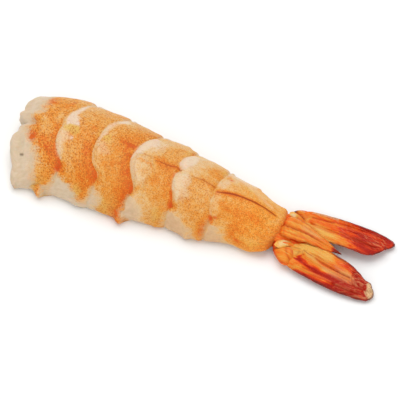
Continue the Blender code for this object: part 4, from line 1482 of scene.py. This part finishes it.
def make_fan(shell, flesh):
    near, far = NEAR_HALF, FAR_HALF
    make_telson(shell)
    make_fan_root(shell)
    make_stem("stem_left", near, shell)
    make_stem("stem_right", far, shell)
    for node, table, droop, ribs, side, turn, skin in (
        ("inner_blade_left", NEAR_INNER, 0.75, NEAR_INNER_RIBS, near, near.inner_swing, NEAR_INNER_SKIN),
        ("inner_blade_right", FAR_INNER, 0.75, FAR_INNER_RIBS, far, far.inner_swing, FAR_INNER_SKIN),
        ("outer_blade_left", NEAR_OUTER, 0.4, OUTER_RIBS, near, near.swing, NEAR_OUTER_SKIN),
        ("outer_blade_right", FAR_OUTER, 0.4, OUTER_RIBS, far, far.swing, FAR_OUTER_SKIN),
    ):
        make_blade(node, table, droop, ribs, side, turn, skin, shell)
    make_pad("pad_left", (24.5, -4.5, 3.87), (2.35, 1.05, 0.28), 44, flesh)
    make_pad("pad_right", (23.1, 4.1, 3.85), (1.2, 0.85, 0.36), -20, flesh)


def shell_material():
    """Thin cooked shell: yellow-orange at the joint, through red, to crimson at the tips."""
    material, tree, shader = new_material("cooked tail shell")
    run = read(tree, "run", "Vector")
    patchy = clouds(tree, run, 0.8, 4.0, 0.6)
    fine = clouds(tree, run, 4.0, 3.0, 0.6)
    streaks = clouds(tree, stretched(tree, run, (0.28, 3.6, 1.0)), 1.0, 4.0, 0.6, 0.5)
    broad_streaks = clouds(tree, stretched(tree, run, (0.16, 1.3, 1.0)), 1.0, 3.0, 0.6, 0.3)

    tone = plus(tree, read(tree, "redness"), ramp(tree, broad_streaks, 0.3, 0.7, -0.15, 0.15))
    tone = plus(tree, tone, ramp(tree, streaks, 0.3, 0.7, -0.13, 0.13))
    colour = shades(
        tree,
        tone,
        (0.0, (0.78, 0.43, 0.09)),
        (0.2, (0.78, 0.285, 0.035)),
        (0.45, (0.80, 0.145, 0.008)),
        (0.7, (0.70, 0.045, 0.004)),
        (1.05, (0.40, 0.012, 0.005)),
    )
    speckle = times(tree, ramp(tree, fine, 0.52, 0.75, 0.0, 0.4), ramp(tree, patchy, 0.4, 0.6, 0.2, 1.0))
    colour = blend(tree, speckle, colour, (0.80, 0.29, 0.06))
    # bare shell, which on the telson is partly a painted highlight
    bare = times(tree, read(tree, "bare"), ramp(tree, streaks, 0.32, 0.62, 0.5, 1.0))
    colour = blend(tree, bare, colour, (0.72, 0.33, 0.145))
    dry = blend(tree, ramp(tree, fine, 0.42, 0.68), (0.76, 0.50, 0.27), (0.50, 0.24, 0.11))
    colour = blend(tree, read(tree, "beige"), colour, dry)
    # dark crease lines; along the telson's sides they are partly painted shade
    line = times(tree, read(tree, "crease"), ramp(tree, patchy, 0.3, 0.6, 0.5, 0.95))
    colour = blend(tree, line, colour, (0.40, 0.035, 0.005))
    rim = times(tree, read(tree, "rim"), ramp(tree, patchy, 0.35, 0.62, 0.4, 1.0))
    colour = blend(tree, rim, colour, (0.15, 0.018, 0.012))

    roughness = ramp(tree, fine, 0.3, 0.7, 0.26, 0.42)
    height = plus(tree, streaks, times(tree, fine, 0.4))
    finish_look(tree, shader, colour, roughness, height, 0.5, 0.00025)
    shader.inputs["Specular IOR Level"].default_value = 0.1
    shader.inputs["Subsurface Weight"].default_value = 0.12
    shader.inputs["Subsurface Radius"].default_value = (1.0, 0.35, 0.15)
    shader.inputs["Subsurface Scale"].default_value = 0.0008
    shader.inputs["Coat Weight"].default_value = 0.06
    shader.inputs["Coat Roughness"].default_value = 0.1
    return material


# ---------------------------------------------------------------- stage, lights and camera

# The photo's angle, in degrees, and the distance in metres
CAMERA_TURN, CAMERA_RISE, CAMERA_DISTANCE = 26.5, 54.0, 0.5


def make_stage():
    bpy.ops.object.select_all(action="DESELECT")
    bpy.ops.mesh.primitive_plane_add(size=3)
    floor = start_piece("pale_board")
    material, _, shader = new_material("pale board")
    shader.inputs["Base Color"].default_value = (0.92, 0.92, 0.91, 1)
    shader.inputs["Roughness"].default_value = 0.7
    floor.data.materials.append(material)


def hang(name, data, place, away):
    """Puts a light or the camera at its place, looking against the direction away."""
    thing = bpy.data.objects.new(name, data)
    thing.location = place
    thing.rotation_euler = away.to_track_quat("Z", "Y").to_euler()
    bpy.context.scene.collection.objects.link(thing)
    return thing


def soft_light(name, place, size, watts):
    data = bpy.data.lights.new(name, "AREA")
    data.size = size
    data.energy = watts
    hang(name, data, place, Vector(place))


def make_lights():
    world = bpy.data.worlds.new("studio")
    world.use_nodes = True
    sky = world.node_tree.nodes["Background"]
    sky.inputs["Color"].default_value = (1.0, 1.0, 1.0, 1)
    sky.inputs["Strength"].default_value = 0.63
    bpy.context.scene.world = world
    soft_light("window", (-0.25, 0.3, 0.9), 1.0, 6.0)
    soft_light("front_fill", (0.5, -0.9, 0.5), 1.2, 4.45)


def make_camera():
    turn, rise = math.radians(CAMERA_TURN), math.radians(CAMERA_RISE)
    back = Vector((math.sin(turn) * math.cos(rise), -math.cos(turn) * math.cos(rise), math.sin(rise)))
    right = Vector((math.cos(turn), math.sin(turn), 0))
    up = back.cross(right)
    aim = Vector((*(FRAME_SHIFT[:2] * MM), 0.004)) - right * 0.00075 - up * 0.0015
    data = bpy.data.cameras.new("camera")
    data.lens = 180
    data.sensor_width = 36
    data.clip_start = 0.01
    bpy.context.scene.camera = hang("camera", data, aim + back * CAMERA_DISTANCE, back)


bpy.context.scene.view_settings.view_transform = "Standard"
make_camera()
make_lights()
make_stage()
flesh = flesh_material(stipple_group())
make_flesh(flesh)
make_fan(shell_material(), flesh)
